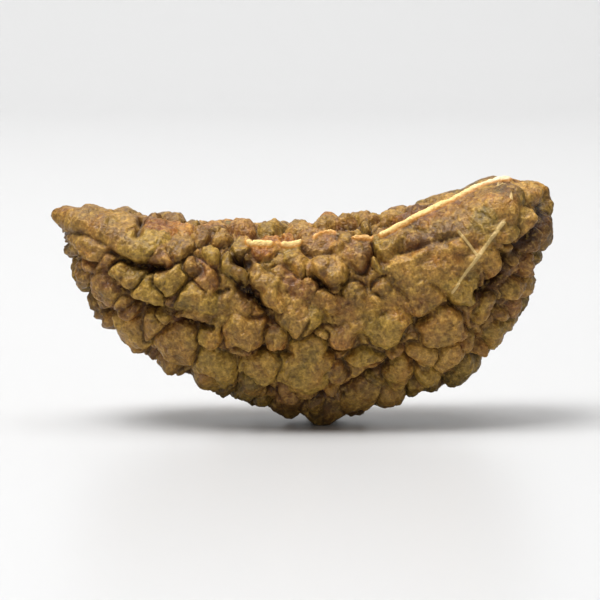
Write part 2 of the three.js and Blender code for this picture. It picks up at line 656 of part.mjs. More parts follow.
function calmed(point, height, areas) {
  for (const { centre, form, flat } of areas) {
    if (!flat && point.y > centre.y + calmDepth) continue;
    const [half, width, angle, level, share] = form;
    const turn = angle * degree;
    const right = point.x - centre.x;
    const up = flat ? point.y - centre.y : point.z - centre.z;
    const along = (right * Math.cos(turn) + up * Math.sin(turn)) / half;
    const across = (up * Math.cos(turn) - right * Math.sin(turn)) / width;
    const weight = share * Math.exp(-((along * along + across * across) ** 2));
    height = height * (1 - weight) + level * weight;
  }
  return height;
}

function beakShare(point) {
  const angle = Math.atan2(point.x - fanX, fanZ - point.z) / degree;
  const share = Math.min(Math.max((angle - beakEnd) / beakFade, 0), 1);
  return beakKeep + (1 - beakKeep) * share;
}

function dipHeight(point) {
  const far = Math.min(Math.max(point.y - dipFrom, 0), 1);
  let most = 0;
  for (const [x, half, depth] of rimDips) {
    most = Math.max(most, depth * far * Math.exp(-(((point.x - x) / half) ** 2)));
  }
  return -most;
}

// Lowers the underside to the blunt point, and cuts it flat where the bead rests.
function footLevel(point) {
  const left = (-point.x - flatX) * leftSlope;
  const right = (point.x - flatX) * rightSlope;
  const ends = (Math.abs(point.y) - flatY) * endSlope;
  const level = Math.max(left, right, 0) + Math.max(ends, 0);
  return point.z < footTop ? Math.max(Math.min(point.z, level), 0) : point.z;
}

function beadPoint(point, normal, field) {
  const lineAway = lineDistance(point, field.faceLine);
  const crest = Math.exp(-((lineAway / faceLineHalf) ** 2));
  const bed = Math.exp(-((lineAway / faceLineBedHalf) ** 4));
  const knobs = calmed(point, knobHeight(point, field.knobs), field.calmAreas);
  const relief =
    knobs +
    troughHeight(point) +
    dipHeight(point) -
    lineHeight(point, field.furrows) +
    lineHeight(point, field.ridges);
  const height = relief * (1 - bed) + faceLineBed * bed + faceLineHeight * crest;
  const out = point.clone().addScaledVector(normal, height * beakShare(point));
  out.x -= restX;
  out.y -= restY;
  out.z = footLevel(out);
  return out;
}

// Angles of the rings, evenly spaced along the surface.
function ringAngles() {
  const steps = 1500;
  const turns = 12;
  const angles = [];
  const travelled = [0];
  let last = null;
  for (let i = 0; i <= steps; i += 1) {
    const share = (1 - Math.cos((Math.PI * i) / steps)) / 2;
    const angle = beakEnd + (lobeEnd - beakEnd) * share;
    const points = [];
    for (let k = 0; k < turns; k += 1) points.push(bodyPoint(angle, (2 * Math.PI * k) / turns));
    if (last) {
      const move = Math.max(...points.map((p, k) => p.distanceTo(last[k])));
      travelled.push(travelled[i - 1] + move);
    }
    angles.push(angle);
    last = points;
  }
  const count = Math.round(travelled[steps] / (pointSpacing * ringShare));
  const rings = [];
  let i = 1;
  for (let k = 1; k < count; k += 1) {
    const goal = (travelled[steps] * k) / count;
    while (travelled[i] < goal) i += 1;
    const share = (goal - travelled[i - 1]) / (travelled[i] - travelled[i - 1]);
    rings.push(angles[i - 1] + (angles[i] - angles[i - 1]) * share);
  }
  return rings;
}

// Points of one ring, evenly spaced, starting at the middle of the concave face.
function ringPoints(angle, shift) {
  const steps = 720;
  const travelled = [0];
  let last = bodyPoint(angle, -Math.PI / 2);
  for (let i = 1; i <= steps; i += 1) {
    const next = bodyPoint(angle, -Math.PI / 2 + (2 * Math.PI * i) / steps);
    travelled.push(travelled[i - 1] + next.distanceTo(last));
    last = next;
  }
  const count = Math.max(Math.round(travelled[steps] / pointSpacing), fewestPoints);
  const points = [];
  let i = 1;
  for (let k = 0; k < count; k += 1) {
    const goal = (travelled[steps] * (k + shift)) / count;
    while (travelled[i] < goal) i += 1;
    const share = (goal - travelled[i - 1]) / (travelled[i] - travelled[i - 1]);
    const turn = -Math.PI / 2 + (2 * Math.PI * (i - 1 + share)) / steps;
    points.push({ point: bodyPoint(angle, turn), place: (k + shift) / count });
  }
  return points;
}

// Triangles between two rings with different numbers of points.
function stitch(low, high, faces) {
  const place = (ring, k) => ring[k % ring.length].place + Math.floor(k / ring.length);
  let [i, j] = [0, 0];
  while (i < low.length || j < high.length) {
    const nextLow = i < low.length ? place(low, i + 1) : Infinity;
    const nextHigh = j < high.length ? place(high, j + 1) : Infinity;
    const a = low[i % low.length].index;
    const b = high[j % high.length].index;
    if (nextLow < nextHigh) {
      i += 1;
      faces.push(a, b, low[i % low.length].index);
    } else {
      j += 1;
      faces.push(a, b, high[j % high.length].index);
    }
  }
}

function makeBead() {
  const field = {
    knobs: fillKnobs(placedKnobs()),
    furrows: placeLines(furrows),
    ridges: placeLines(ridges),
    faceLine: placeFaceLine(),
    calmAreas: placeCalmAreas(),
  };
  const corners = [];
  const faces = [];
  const add = (point, normal) => {
    const place = beadPoint(point, normal, field);
    corners.push(place.x, place.y, place.z);
    return corners.length / 3 - 1;
  };
  const beak = bodyPoint(beakEnd, 0);
  const lobe = bodyPoint(lobeEnd, 0);
  const heading = (angle) => [Math.cos(angle * degree), 0, Math.sin(angle * degree)];
  const first = add(beak, new THREE.Vector3(...heading(beakEnd)).negate());
  const rings = ringAngles().map((angle, k) => {
    const ring = ringPoints(angle, k % 2 ? 0.5 : 0);
    for (const spot of ring) spot.index = add(spot.point, bodyNormal(spot.point));
    return ring;
  });
  const last = add(lobe, new THREE.Vector3(...heading(lobeEnd)));
  const start = rings[0];
  start.forEach((spot, k) => faces.push(first, spot.index, start[(k + 1) % start.length].index));
  for (let k = 1; k < rings.length; k += 1) stitch(rings[k - 1], rings[k], faces);
  const end = rings[rings.length - 1];
  end.forEach((spot, k) => faces.push(last, end[(k + 1) % end.length].index, spot.index));
  const geometry = new THREE.BufferGeometry();
  geometry.setAttribute("position", new THREE.Float32BufferAttribute(corners, 3));
  geometry.setIndex(faces);
  geometry.computeVertexNormals();
  return geometry;
}

const root = new THREE.Group();
const bead = new THREE.Mesh(
  makeBead(),
  new THREE.MeshStandardMaterial({ color: 0x7a5c34, roughness: 0.6 }),
);
bead.name = "bead";
root.add(bead);

export default root;
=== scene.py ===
import math

import bpy
import numpy as np
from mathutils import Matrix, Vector


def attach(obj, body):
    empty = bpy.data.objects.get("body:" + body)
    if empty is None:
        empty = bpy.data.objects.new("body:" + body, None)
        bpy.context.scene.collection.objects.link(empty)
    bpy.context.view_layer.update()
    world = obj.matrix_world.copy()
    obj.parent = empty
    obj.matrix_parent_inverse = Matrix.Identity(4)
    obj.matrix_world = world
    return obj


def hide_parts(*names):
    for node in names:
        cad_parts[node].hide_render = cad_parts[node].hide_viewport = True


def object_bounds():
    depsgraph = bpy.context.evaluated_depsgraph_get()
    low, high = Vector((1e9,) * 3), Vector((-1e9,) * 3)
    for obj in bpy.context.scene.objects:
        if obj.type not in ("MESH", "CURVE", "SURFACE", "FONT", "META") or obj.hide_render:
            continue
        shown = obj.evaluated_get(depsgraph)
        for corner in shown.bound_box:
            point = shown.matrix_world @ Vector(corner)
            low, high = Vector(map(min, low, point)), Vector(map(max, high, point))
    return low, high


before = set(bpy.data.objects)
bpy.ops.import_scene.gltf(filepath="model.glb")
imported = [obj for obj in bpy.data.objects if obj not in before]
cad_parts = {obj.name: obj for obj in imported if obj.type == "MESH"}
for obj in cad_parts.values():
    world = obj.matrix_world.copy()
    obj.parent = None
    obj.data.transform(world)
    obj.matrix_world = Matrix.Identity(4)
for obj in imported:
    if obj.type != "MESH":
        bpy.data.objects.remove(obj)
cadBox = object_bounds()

# One-face rudraksha bead, cashew shape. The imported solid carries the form; here the same
# body and the same knobs are built again with points a quarter as far apart, with the fine
# granules, fibres and pores that the solid is too coarse for.
# The shape is worked out in millimetres and turned into metres when the mesh is made.

mm = 0.001

# the curved body under the knobs: every section lies in a plane through one line along Y
body = {
    "fanX": -1.0,
    "fanZ": 34.0,
    # angle from straight down, distance to the concave face, to the outer rim, half thickness
    "stations": [
        (-35.6, 25.75, 25.95, 0.35),
        (-34.3, 25.35, 25.75, 0.85),
        (-32.6, 25.0, 25.7, 1.5),
        (-30.8, 24.6, 26.1, 2.3),
        (-28.5, 24.3, 27.3, 3.1),
        (-25, 23.85, 28.3, 3.9),
        (-21, 23.4, 29.6, 4.4),
        (-16.5, 23.15, 30.3, 4.7),
        (-11, 22.7, 31.05, 4.9),
        (-5, 22.35, 31.85, 4.95),
        (1.5, 22.3, 32.5, 4.95),
        (7, 22.1, 32.4, 4.95),
        (12, 22.3, 32.1, 4.9),
        (18, 22.4, 31.9, 4.8),
        (22, 22.55, 30.75, 4.65),
        (26, 22.8, 29.6, 4.5),
        (29, 22.95, 28.0, 4.3),
        (31, 23.0, 27.2, 4.2),
        (34, 23.1, 26.8, 4.1),
        (38, 23.2, 26.4, 4.0),
    ],
    # degrees: where the beak ends, over how much it rounds off, and how far the relief is low
    "beakEnd": -35.6,
    "beakRound": 0.7,
    "beakFade": 4.5,
    # how much of the relief is left at the tip
    "beakKeep": 0.2,
    "lobeEnd": 35.7,
    "lobeRound": 6.0,
    # what is placed from the lists keeps this far from both ends
    "keepFromEnds": 0.15,
    # where a section is thickest, and how square it is on the concave side and outside
    "widestShare": 0.38,
    "innerPower": 2.7,
    "outerPower": 2.1,
    # the shallow trough along the concave face: it starts at a share of the way up to it, and
    # is shallower where the bead is thin
    "troughDepth": 0.45,
    "troughHalf": 1.8,
    "troughFrom": 0.3,
    "troughFade": 0.6,
    "troughThick": 4.0,
    # how far the photograph looks down on the bead
    "sightTilt": 6.0,
    # what is taken off so that the foot stands at the origin
    "restX": 0.48,
    "restY": 0.05,
}

# how all knobs are shaped, in millimetres where it isn't a share
knobShape = {
    "floor": 0.12,
    "spread": 1.4,
    "squarer": 0.2,
    # the squarest knobs are plates, and spread a little more
    "plateFrom": 2.9,
    "plateSpread": 1.45,
    # how much higher a knob is at its lower side
    "overhang": 0.45,
    # how far its dome still counts, in half lengths, and how much depth counts in it
    "reach": 1.8,
    "depthShare": 0.5,
    # the creases between two knobs
    "softness": 0.16,
    "creaseDepth": 0.07,
    "creaseHalf": 0.12,
    "widestGap": 0.3,
    # a gentle wave of the whole pattern
    "driftSize": 0.22,
}

# tints of single knobs, as sRGB colours
tints = {
    "b": "#765326",
    "l": "#8a6833",
    "y": "#7a6026",
    "o": "#894e18",
    "m": "#70492a",
    "g": "#5a4b23",
    "d": "#583c1b",
}

# knobs seen from the front: x, z, half length, half width, angle, height, squareness, tint
frontKnobs = [
    (-13.4, 12.8, 2.2, 0.6, -1, 0.5, 2.8, "o"),
    (-14.2, 11.8, 1.5, 0.45, -33, 0.5, 2.4, "l"),
    (-12.6, 12.1, 1.1, 0.65, -20, 0.6, 2.4, "y"),
    (-11.5, 11.9, 1.1, 0.55, -60, 0.75, 2.4, "l"),
    (-10.9, 12.75, 1.0, 0.4, -5, 0.65, 2.4, "l"),
    (-9.6, 11.6, 0.8, 0.9, 0, 0.7, 2.8, "o"),
    (-8.2, 11.7, 1.0, 0.75, -20, 0.75, 2.6, "o"),
    (-8.8, 12.7, 0.9, 0.45, 0, 0.6, 2.4, "o"),
    (-10.2, 13.1, 0.35, 0.3, 0, 0.6, 2.2, "g"),
    (-10.1, 10.6, 1.15, 0.75, -15, 0.6, 2.8, "y"),
    (-12.9, 10.45, 0.75, 0.45, 10, 0.65, 2.4, "l"),
    (-13.6, 10.9, 0.6, 0.35, -75, 0.5, 2.2, "y"),
    (-14.7, 10.7, 0.5, 0.5, 0, 0.55, 2.4, "l"),
    (-15.0, 9.85, 0.65, 0.5, 10, 0.75, 2.4, "m"),
    (-15.1, 11.5, 0.5, 0.35, 80, 0.5, 2.2, "y"),
    (-12.3, 9.9, 0.7, 0.45, 20, 0.5, 2.4, "m"),
    (-14.1, 8.2, 1.05, 0.8, -55, 0.8, 2.6, "y"),
    (-12.5, 8.65, 1.8, 0.5, -32, 0.8, 2.5, "m"),
    (-12.3, 7.8, 0.9, 0.4, -15, 0.55, 2.4, "b"),
    (-11.3, 9.15, 1.2, 0.5, -5, 0.75, 2.5, "y"),
    (-10.0, 8.3, 1.0, 0.62, -45, 0.8, 2.5, "y"),
    (-8.6, 8.85, 1.1, 0.6, 25, 0.75, 2.5, "y"),
    (-9.2, 10.0, 0.8, 0.45, -25, 0.55, 2.4, "m"),
    (-7.9, 10.4, 0.7, 0.7, 0, 0.5, 2.4, "d"),
    (-6.8, 11.0, 1.0, 0.55, 85, 0.65, 2.4, "b"),
    (-7.4, 9.5, 0.8, 0.5, -30, 0.6, 2.4, "b"),
    (-6.5, 9.0, 0.8, 0.6, 30, 0.6, 2.4, "m"),
    (-6.9, 7.75, 1.35, 0.55, 0, 0.95, 2.6, "y"),
    (-8.3, 7.6, 0.6, 0.5, 0, 0.6, 2.4, "m"),
    (-7.1, 6.95, 1.5, 0.35, 0, 0.6, 2.4, "b"),
    (-5.5, 7.55, 0.42, 0.36, 0, 0.6, 2.2, "b"),
    (-10.85, 6.3, 1.15, 1.05, -20, 0.95, 2.6, "l"),
    (-9.55, 6.3, 0.55, 0.8, 0, 0.75, 2.6, "b"),
    (-8.9, 6.9, 0.32, 0.3, 0, 0.7, 2.2, "l"),
    (-12.6, 6.6, 0.75, 0.55, -60, 0.65, 2.4, "g"),
    (-10.2, 4.5, 1.0, 0.8, -25, 0.65, 2.4, "g"),
    (-7.9, 5.2, 1.2, 1.15, 0, 0.9, 2.6, "b"),
    (-6.2, 5.9, 0.9, 0.6, 50, 0.7, 2.4, "y"),
    (-5.7, 4.1, 1.5, 1.05, -40, 0.9, 2.6, "y"),
    (-8.4, 3.2, 1.35, 0.6, -12, 0.55, 2.4, "m"),
    (-6.2, 2.3, 0.85, 0.6, -20, 0.6, 2.4, "g"),
    (-4.0, 6.0, 1.1, 0.9, 10, 0.85, 2.6, "b"),
    (-4.4, 4.95, 0.6, 0.4, 0, 0.5, 2.4, "m"),
    (-2.9, 3.8, 1.25, 0.85, 0, 0.85, 2.6, "y"),
    (-3.6, 1.9, 1.6, 0.85, -8, 0.7, 2.4, "g"),
    (-5.0, 9.5, 1.0, 0.5, -65, 0.7, 2.3, "y"),
    (-5.5, 10.8, 0.8, 0.5, 70, 0.6, 2.4, "b"),
    (-4.2, 10.5, 0.9, 0.6, -80, 0.7, 2.4, "y"),
    (-2.8, 10.4, 0.9, 0.75, 80, 0.75, 2.5, "o"),
    (-1.6, 10.7, 0.6, 0.5, 0, 0.6, 2.4, "o"),
    (-1.3, 9.8, 1.05, 0.5, -70, 0.75, 2.3, "y"),
    (0.1, 10.85, 0.95, 0.75, 0, 0.8, 2.6, "m"),
    (1.0, 9.2, 0.85, 0.82, 0, 1.0, 2.4, "b"),
    (-0.3, 9.2, 0.25, 0.32, 0, 0.6, 2.2, "b"),
    (-2.6, 8.5, 1.6, 0.5, -58, 1.25, 2.5, "l"),
    (-0.8, 8.3, 1.2, 0.55, -18, 0.65, 2.6, "m"),
    (-1.3, 6.6, 1.35, 0.85, -42, 0.9, 2.8, "l"),
    (-0.1, 6.5, 0.7, 0.9, 0, 0.8, 2.5, "y"),
    (-2.1, 5.5, 0.75, 0.65, 0, 0.7, 2.4, "b"),
    (1.0, 7.5, 1.1, 0.6, 5, 0.75, 2.5, "b"),
    (2.5, 8.1, 0.75, 0.6, -20, 0.6, 2.4, "d"),
    (-0.5, 3.75, 1.6, 1.35, 75, 1.0, 2.6, "y"),
    (0.1, 1.05, 0.95, 0.8, 50, 0.75, 2.2, "b"),
    (1.5, 1.7, 0.8, 0.5, -75, 0.65, 2.3, "b"),
    (2.95, 2.1, 1.15, 1.1, 10, 0.8, 2.5, "l"),
    (1.35, 3.5, 0.75, 0.5, 70, 0.55, 2.4, "d"),
    (1.6, 5.5, 0.95, 0.6, -10, 0.75, 2.6, "m"),
    (0.55, 5.8, 0.38, 0.35, 0, 0.7, 2.2, "l"),
    (2.9, 4.45, 1.2, 0.55, 5, 0.7, 2.4, "y"),
    (4.6, 6.2, 1.2, 0.9, 10, 0.85, 2.5, "y"),
    (2.9, 6.5, 0.85, 0.6, 60, 0.65, 2.4, "b"),
    (5.15, 3.6, 0.95, 0.7, 70, 0.8, 2.4, "y"),
    (4.95, 2.0, 1.05, 0.9, 15, 0.7, 2.4, "g"),
    (6.35, 4.8, 0.8, 0.6, -10, 0.75, 2.5, "l"),
    (8.2, 4.8, 0.85, 0.65, 0, 0.75, 2.5, "l"),
    (7.2, 3.0, 1.1, 0.7, 10, 0.6, 2.4, "g"),
    (9.3, 3.6, 0.85, 0.8, 40, 0.7, 2.4, "g"),
    (8.0, 6.4, 1.2, 1.0, -20, 0.8, 2.6, "b"),
    (9.2, 5.4, 0.7, 0.4, 60, 0.7, 2.3, "l"),
    (10.9, 6.1, 1.1, 0.85, 30, 0.85, 2.5, "y"),
    (10.4, 4.6, 0.8, 0.7, 50, 0.65, 2.4, "g"),
    (11.75, 7.4, 0.75, 0.55, 40, 0.7, 2.4, "m"),
    (12.7, 7.6, 1.55, 0.6, 75, 0.75, 2.4, "g"),
    (6.3, 8.0, 1.15, 1.1, 0, 0.65, 3.2, "b"),
    (5.5, 9.3, 0.9, 0.6, 10, 0.6, 3.2, "l"),
    (7.7, 9.5, 1.2, 0.7, 20, 0.6, 3.2, "b"),
    (3.85, 7.7, 0.42, 0.28, 65, 0.6, 2.2, "l"),
    (4.3, 8.5, 0.8, 0.5, 20, 0.5, 2.8, "d"),
    (2.8, 10.5, 1.2, 0.62, 85, 0.75, 2.5, "m"),
    (1.8, 10.6, 0.9, 0.4, 80, 0.6, 2.3, "b"),
    (4.9, 10.9, 1.0, 0.9, 0, 0.7, 3.0, "y"),
    (6.6, 12.1, 1.0, 0.7, 0, 0.65, 3.2, "o"),
    (6.6, 10.7, 1.0, 0.5, 10, 0.6, 3.0, "b"),
    (8.4, 12.9, 1.2, 0.9, 25, 0.6, 3.2, "d"),
    (10.2, 13.4, 0.9, 0.9, 0, 0.65, 3.2, "b"),
    (8.6, 11.3, 1.0, 0.6, -20, 0.55, 3.0, "d"),
    (10.2, 11.8, 0.9, 0.7, 50, 0.55, 3.0, "g"),
    (11.6, 12.9, 0.7, 0.6, 0, 0.6, 2.6, "b"),
    (9.0, 8.2, 1.0, 0.8, 45, 0.6, 3.0, "y"),
    (10.7, 9.9, 0.9, 0.45, 80, 0.65, 2.4, "b"),
    (10.2, 7.4, 0.8, 0.55, 50, 0.6, 2.6, "y"),
    (11.6, 11.6, 0.7, 0.5, 50, 0.55, 2.6, "g"),
    (12.4, 9.9, 0.95, 0.75, 20, 0.8, 2.5, "m"),
    (13.8, 12.0, 1.5, 0.8, 80, 0.8, 2.4, "d"),
    (13.3, 14.1, 1.05, 0.85, -50, 0.8, 2.5, "y"),
    (12.2, 14.3, 0.6, 0.55, 0, 0.65, 2.4, "m"),
]

# knobs along the back of the concave face: x, y, then as above
topKnobs = [
    (-13.0, 1.2, 1.4, 0.8, 5, 0.3, 2.6, "o"),
    (-8.9, 3.3, 1.0, 0.8, 0, 0.4, 2.5, "o"),
    (-5.2, 3.3, 1.1, 0.9, 5, 0.95, 3.0, "o"),
    (-2.9, 3.4, 0.95, 0.9, 0, 0.85, 2.6, "y"),
    (-0.8, 3.4, 0.75, 0.8, 20, 1.0, 2.3, "y"),
    (1.15, 3.2, 0.75, 0.9, 0, 1.35, 2.6, "o"),
    (3.2, 3.4, 1.05, 0.8, 10, 1.0, 2.5, "g"),
    (5.5, 3.3, 1.0, 0.8, 0, 1.15, 2.8, "m"),
    (7.3, 3.2, 1.1, 0.8, -10, 1.0, 2.8, "g"),
    (9.2, 3.0, 1.1, 0.8, 0, 0.8, 2.8, "g"),
    (11.0, 2.6, 1.1, 0.9, 0, 0.75, 2.8, "g"),
]

# the blunt point under the middle that the bead stands on: half sizes of its flat spot, how
# steeply it rises to the left and to the right, over how far it ends to the front and back,
# how much of the fine relief it shows, and up to which height it is shaped
foot = {
    "flatX": 0.25,
    "flatY": 1.8,
    "leftSlope": 0.95,
    "rightSlope": 0.6,
    "endFade": 1.3,
    "grain": 0.3,
    "topZ": 2.6,
}

# calmer areas of the front, where the knobs are pressed into plates: x, z, half length,
# half width, angle, level, share
calmAreas = [
    (8.6, 12.1, 4.6, 1.5, 36, 0.4, 0.65),
    (7.4, 9.0, 3.4, 1.2, 30, 0.62, 0.7),
    (10.4, 12.2, 3.2, 1.2, 52, 0.45, 0.65),
    (-13.2, 12.0, 3.4, 1.2, -17, 0.42, 0.85),
    (-0.4, 3.8, 1.5, 1.3, 60, 0.85, 0.5),
    (-9.6, 11.7, 2.0, 1.1, -10, 0.5, 0.6),
    (-1.0, 7.8, 2.0, 0.9, -28, 0.62, 0.45),
    (0.2, 10.0, 2.4, 0.8, 0, 0.55, 0.4),
    (2.7, 6.9, 1.4, 1.2, 0, 0.6, 0.4),
    (-5.6, 7.3, 1.8, 1.0, 0, 0.55, 0.35),
]

# the same along the far rim: x, y, then as above
rimCalmAreas = [
    (8.4, 3.1, 4.6, 1.5, -4, 0.9, 0.8),
]

# how deep behind the front its calm areas and its red-brown patches with painted shade reach, and
# over how far those of the far rim fade out below the concave face
calmDepth = 2.5
stainAndShadeDepth = 2.0
rimCalmFade = 1.0

# fine strokes that run from the tip of the beak over its calm area: the place they come from,
# how many there are to a radian, how long a wave is along them, their height, and where they
# end and fade
strokes = {
    "fromX": -17.2,
    "fromZ": 13.9,
    "perRadian": 11.0,
    "waveMm": 3.2,
    "height": 0.34,
    "untilX": -9.5,
    "fade": 2.0,
}

# darker red-brown patches along creases and in hollows, partly the seed's red-brown tone and partly
# painted shade: x, z, half length, half width, angle, share
stainAndShadePatches = [
    (6.6, 12.2, 1.7, 0.55, 27, 0.75),
    (4.7, 11.2, 0.9, 0.5, 0, 0.45),
    (11.7, 14.1, 0.9, 0.5, -40, 0.6),
    (12.8, 11.9, 2.6, 0.4, 58, 0.75),
    (11.0, 8.9, 1.6, 0.4, 50, 0.6),
    (7.2, 11.1, 2.3, 0.4, 16, 0.6),
    (9.4, 12.9, 1.4, 0.35, 40, 0.4),
    (5.3, 8.2, 1.2, 0.3, -48, 0.4),
    (-14.2, 12.6, 2.6, 0.9, -10, 0.28),
    (-13.6, 12.3, 1.8, 0.2, -20, 0.45),
    (-12.0, 11.2, 1.6, 0.25, -25, 0.5),
    (-10.3, 12.2, 1.6, 0.5, -12, 0.5),
    (-6.6, 11.4, 0.9, 0.6, 80, 0.45),
    (-4.3, 9.6, 0.9, 0.5, 0, 0.7),
    (-4.0, 8.1, 0.8, 0.7, -30, 0.75),
    (0.5, 10.3, 1.5, 0.35, 0, 0.3),
    (0.9, 8.4, 1.0, 0.3, 0, 0.5),
    (3.2, 9.6, 1.3, 0.4, 80, 0.5),
    (-9.6, 9.5, 1.3, 0.35, -10, 0.6),
    (-7.2, 6.5, 1.9, 0.3, 0, 0.5),
    (-11.6, 7.4, 2.2, 0.3, 0, 0.5),
    (-13.6, 11.3, 1.8, 0.3, -33, 0.45),
    (1.2, 2.5, 3.0, 0.3, 16, 0.5),
]

# straight strokes of the other calm areas: angle, spacing, length, height, and where they
# start and fade in
grooves = {
    "angle": 42.0,
    "spacingMm": 0.55,
    "lengthMm": 3.2,
    "height": 0.13,
    "fromX": -2.0,
    "fade": 2.0,
}

# sunk lines and hollows on the front: half width, depth, then x, z along the line
furrows = [
    (0.16, 0.5, -12.1, 10.5, -11.4, 10.05, -10.6, 9.75, -10.2, 9.65),
    (0.26, 0.75, -10.3, 9.65, -9.8, 9.45, -9.1, 9.5),
    (0.15, 0.35, -10.1, 12.75, -9.9, 12.4),
    (0.16, 0.45, -13.8, 9.8, -12.9, 9.5, -12.1, 9.75, -11.5, 10.05),
    (0.14, 0.45, -11.4, 8.6, -10.8, 7.95, -10.3, 7.55),
    (0.14, 0.4, -13.7, 8.8, -13.3, 8.1, -13.0, 7.5),
    (0.17, 0.5, -13.0, 7.3, -12.0, 7.3, -10.7, 7.65, -9.9, 7.35, -9.2, 7.4),
    (0.12, 0.3, -15.2, 12.45, -14.2, 11.9, -13.3, 11.35, -12.3, 10.8),
    (0.12, 0.3, -14.9, 11.5, -14.4, 10.9, -13.9, 10.5),
    (0.22, 0.5, -10.55, 11.9, -10.65, 11.1),
    (0.16, 0.45, -7.8, 6.7, -7.2, 6.35, -6.0, 6.2),
    (0.18, 0.45, -8.9, 3.8, -7.2, 3.75),
    (0.22, 0.45, -5.7, 8.05, -5.2, 8.2),
    (0.28, 0.6, -4.7, 9.7, -3.9, 9.5),
    (0.3, 0.65, -4.4, 8.5, -3.8, 8.0),
    (0.22, 0.6, -3.8, 8.0, -3.4, 7.7, -2.9, 7.1, -2.5, 6.5),
    (0.16, 0.45, -1.0, 10.8, -0.7, 10.2, -0.1, 9.9, 1.2, 10.1),
    (0.18, 0.5, 0.1, 8.8, 0.5, 8.4, 1.0, 8.25, 1.7, 8.5),
    (0.16, 0.45, 3.8, 11.3, 3.4, 10.9, 3.8, 10.1, 4.2, 9.4),
    (0.17, 0.5, -1.9, 2.1, -1.0, 2.05, 0.4, 2.2, 2.0, 2.8, 3.2, 3.45, 4.3, 3.8, 4.9, 4.5),
    (0.17, 0.45, 0.9, 4.75, 2.1, 4.8),
    (0.15, 0.4, 5.8, 4.1, 6.8, 3.95),
    (0.2, 0.4, 6.2, 6.3, 6.9, 6.8),
    (0.24, 0.7, 14.1, 14.0, 13.3, 12.6, 12.8, 12.1, 12.3, 11.4, 11.9, 10.8, 11.4, 10.5),
    (0.24, 0.7, 11.4, 10.5, 11.3, 9.8, 11.0, 9.2, 10.2, 8.3, 9.7, 8.15),
    (0.14, 0.3, 5.0, 10.2, 6.2, 10.45, 7.6, 10.95, 8.9, 11.25),
    (0.14, 0.3, 4.4, 8.9, 5.3, 8.1, 5.9, 7.3),
    (0.14, 0.3, 7.2, 8.6, 8.0, 7.9, 8.3, 7.4),
    (0.2, 0.6, 10.1, 6.3, 10.6, 7.1, 11.2, 7.8, 11.8, 8.2),
    (0.16, 0.4, 9.6, 5.6, 9.9, 4.6, 10.0, 4.2),
    (0.16, 0.4, -9.3, 5.4, -10.2, 5.2, -10.5, 5.0),
    (0.14, 0.4, -12.1, 7.2, -12.0, 6.4),
    (0.14, 0.4, 8.0, 4.0, 8.8, 4.3),
    (0.15, 0.4, -3.6, 4.9, -2.0, 4.75, -1.3, 4.6),
    (0.13, 0.4, -5.0, 2.5, -4.2, 2.9, -4.1, 4.2),
    (0.25, 0.5, -2.7, 2.6, -1.9, 2.3),
]

# pale fibres that lie on the front, the same way
fibreLines = [
    (0.07, 0.1, 11.4, 14.8, 11.35, 14.1, 12.05, 13.9, 11.75, 13.2),
    (0.1, 0.14, 11.35, 12.25, 10.6, 11.3, 9.9, 10.35),
    (0.09, 0.12, 9.9, 10.35, 9.4, 9.7, 9.0, 9.2),
    (0.07, 0.1, 9.0, 9.2, 8.6, 8.75, 8.2, 8.2),
    (0.08, 0.12, 8.9, 11.4, 9.4, 10.9, 9.8, 10.35),
]

# raised edges on the front, the same way; they are painted paler, as painted highlight
ridges = [
    (0.16, 0.15, -7.8, 8.1, -6.1, 8.1),
    (0.18, 0.2, -1.5, 4.3, -1.6, 3.4),
    (0.2, 0.2, 4.6, 9.45, 5.6, 9.75, 6.8, 10.2, 8.0, 10.55, 9.2, 10.7),
    (0.16, 0.15, 1.4, 2.3, 1.5, 1.8, 1.8, 1.3),
    (0.15, 0.15, 6.4, 3.2, 7.0, 3.7),
    (0.15, 0.15, 7.6, 4.0, 8.5, 3.2),
    (0.17, 0.18, -3.3, 9.3, -2.9, 9.5, -2.4, 9.2, -1.8, 8.3),
    (0.17, 0.2, -15.4, 12.3, -14.6, 11.75, -13.4, 11.15, -12.9, 10.8),
    (0.14, 0.14, -15.2, 11.9, -14.6, 11.1, -14.3, 10.4),
]

# dips of the far rim between its knobs: x, half width, depth; they start behind the middle
dipFrom = 0.5
rimDips = [
    (-10.9, 0.5, 0.35),
    (-7.0, 0.6, 0.5),
    (-3.9, 0.4, 0.3),
    (0.15, 0.4, 0.8),
    (2.0, 0.4, 0.35),
    (4.3, 0.45, 0.9),
    (6.4, 0.4, 0.3),
]

# the single face line of the bead, along the front edge of the concave face: x, y by turns
faceLine = {
    "half": 0.17,
    "height": 0.34,
    "bed": 0.6,
    "bedHalf": 0.5,
    # brighter stretches, higher and with more painted highlight: from x, to x, share
    "stretches": (
        (-4.3, -2.3, 0.95), (-2.2, -0.5, 1.0), (-0.1, 1.7, 0.65), (2.2, 3.9, 0.7), (3.9, 12.3, 1.0),
    ),
    "stretchFade": 0.3,
    "places": (
        -4.4, -3.9, -3.0, -3.9, -1.5, -3.85, -0.4, -3.7, 0.6, -3.3, 1.3, -3.2, 2.2, -3.8,
        3.8, -3.9, 5.5, -3.5, 7.0, -3.0, 8.6, -2.5, 10.2, -2.0, 11.6, -1.5, 12.6, -0.9,
    ),
}

# smaller knobs that fill the rest, from the largest radius down
fill = {
    "radii": (1.3, 1.15, 1.0, 0.85, 0.72, 0.6),
    "tries": 1400,
    "seed": 20417,
    # how far apart two centres are at least, as a share of both sizes: behind and in front
    "closeness": 0.66,
    "frontCloseness": 0.78,
    "frontEdge": -1.8,
    "nearMm": 4.5,
    # degrees left free at both ends, largest size at the tip, and its growth a degree
    "endsFree": 0.4,
    "beakRadius": 0.3,
    "beakGrowth": 0.12,
    "stretch": 0.6,
    "height": 0.42,
    "heightPerRadius": 0.3,
    "heightSpread": 0.18,
    "power": 2.3,
    "powerSpread": 0.7,
    "tints": "bbbbbbblllyymmdg",
    "tintStep": 997,
}

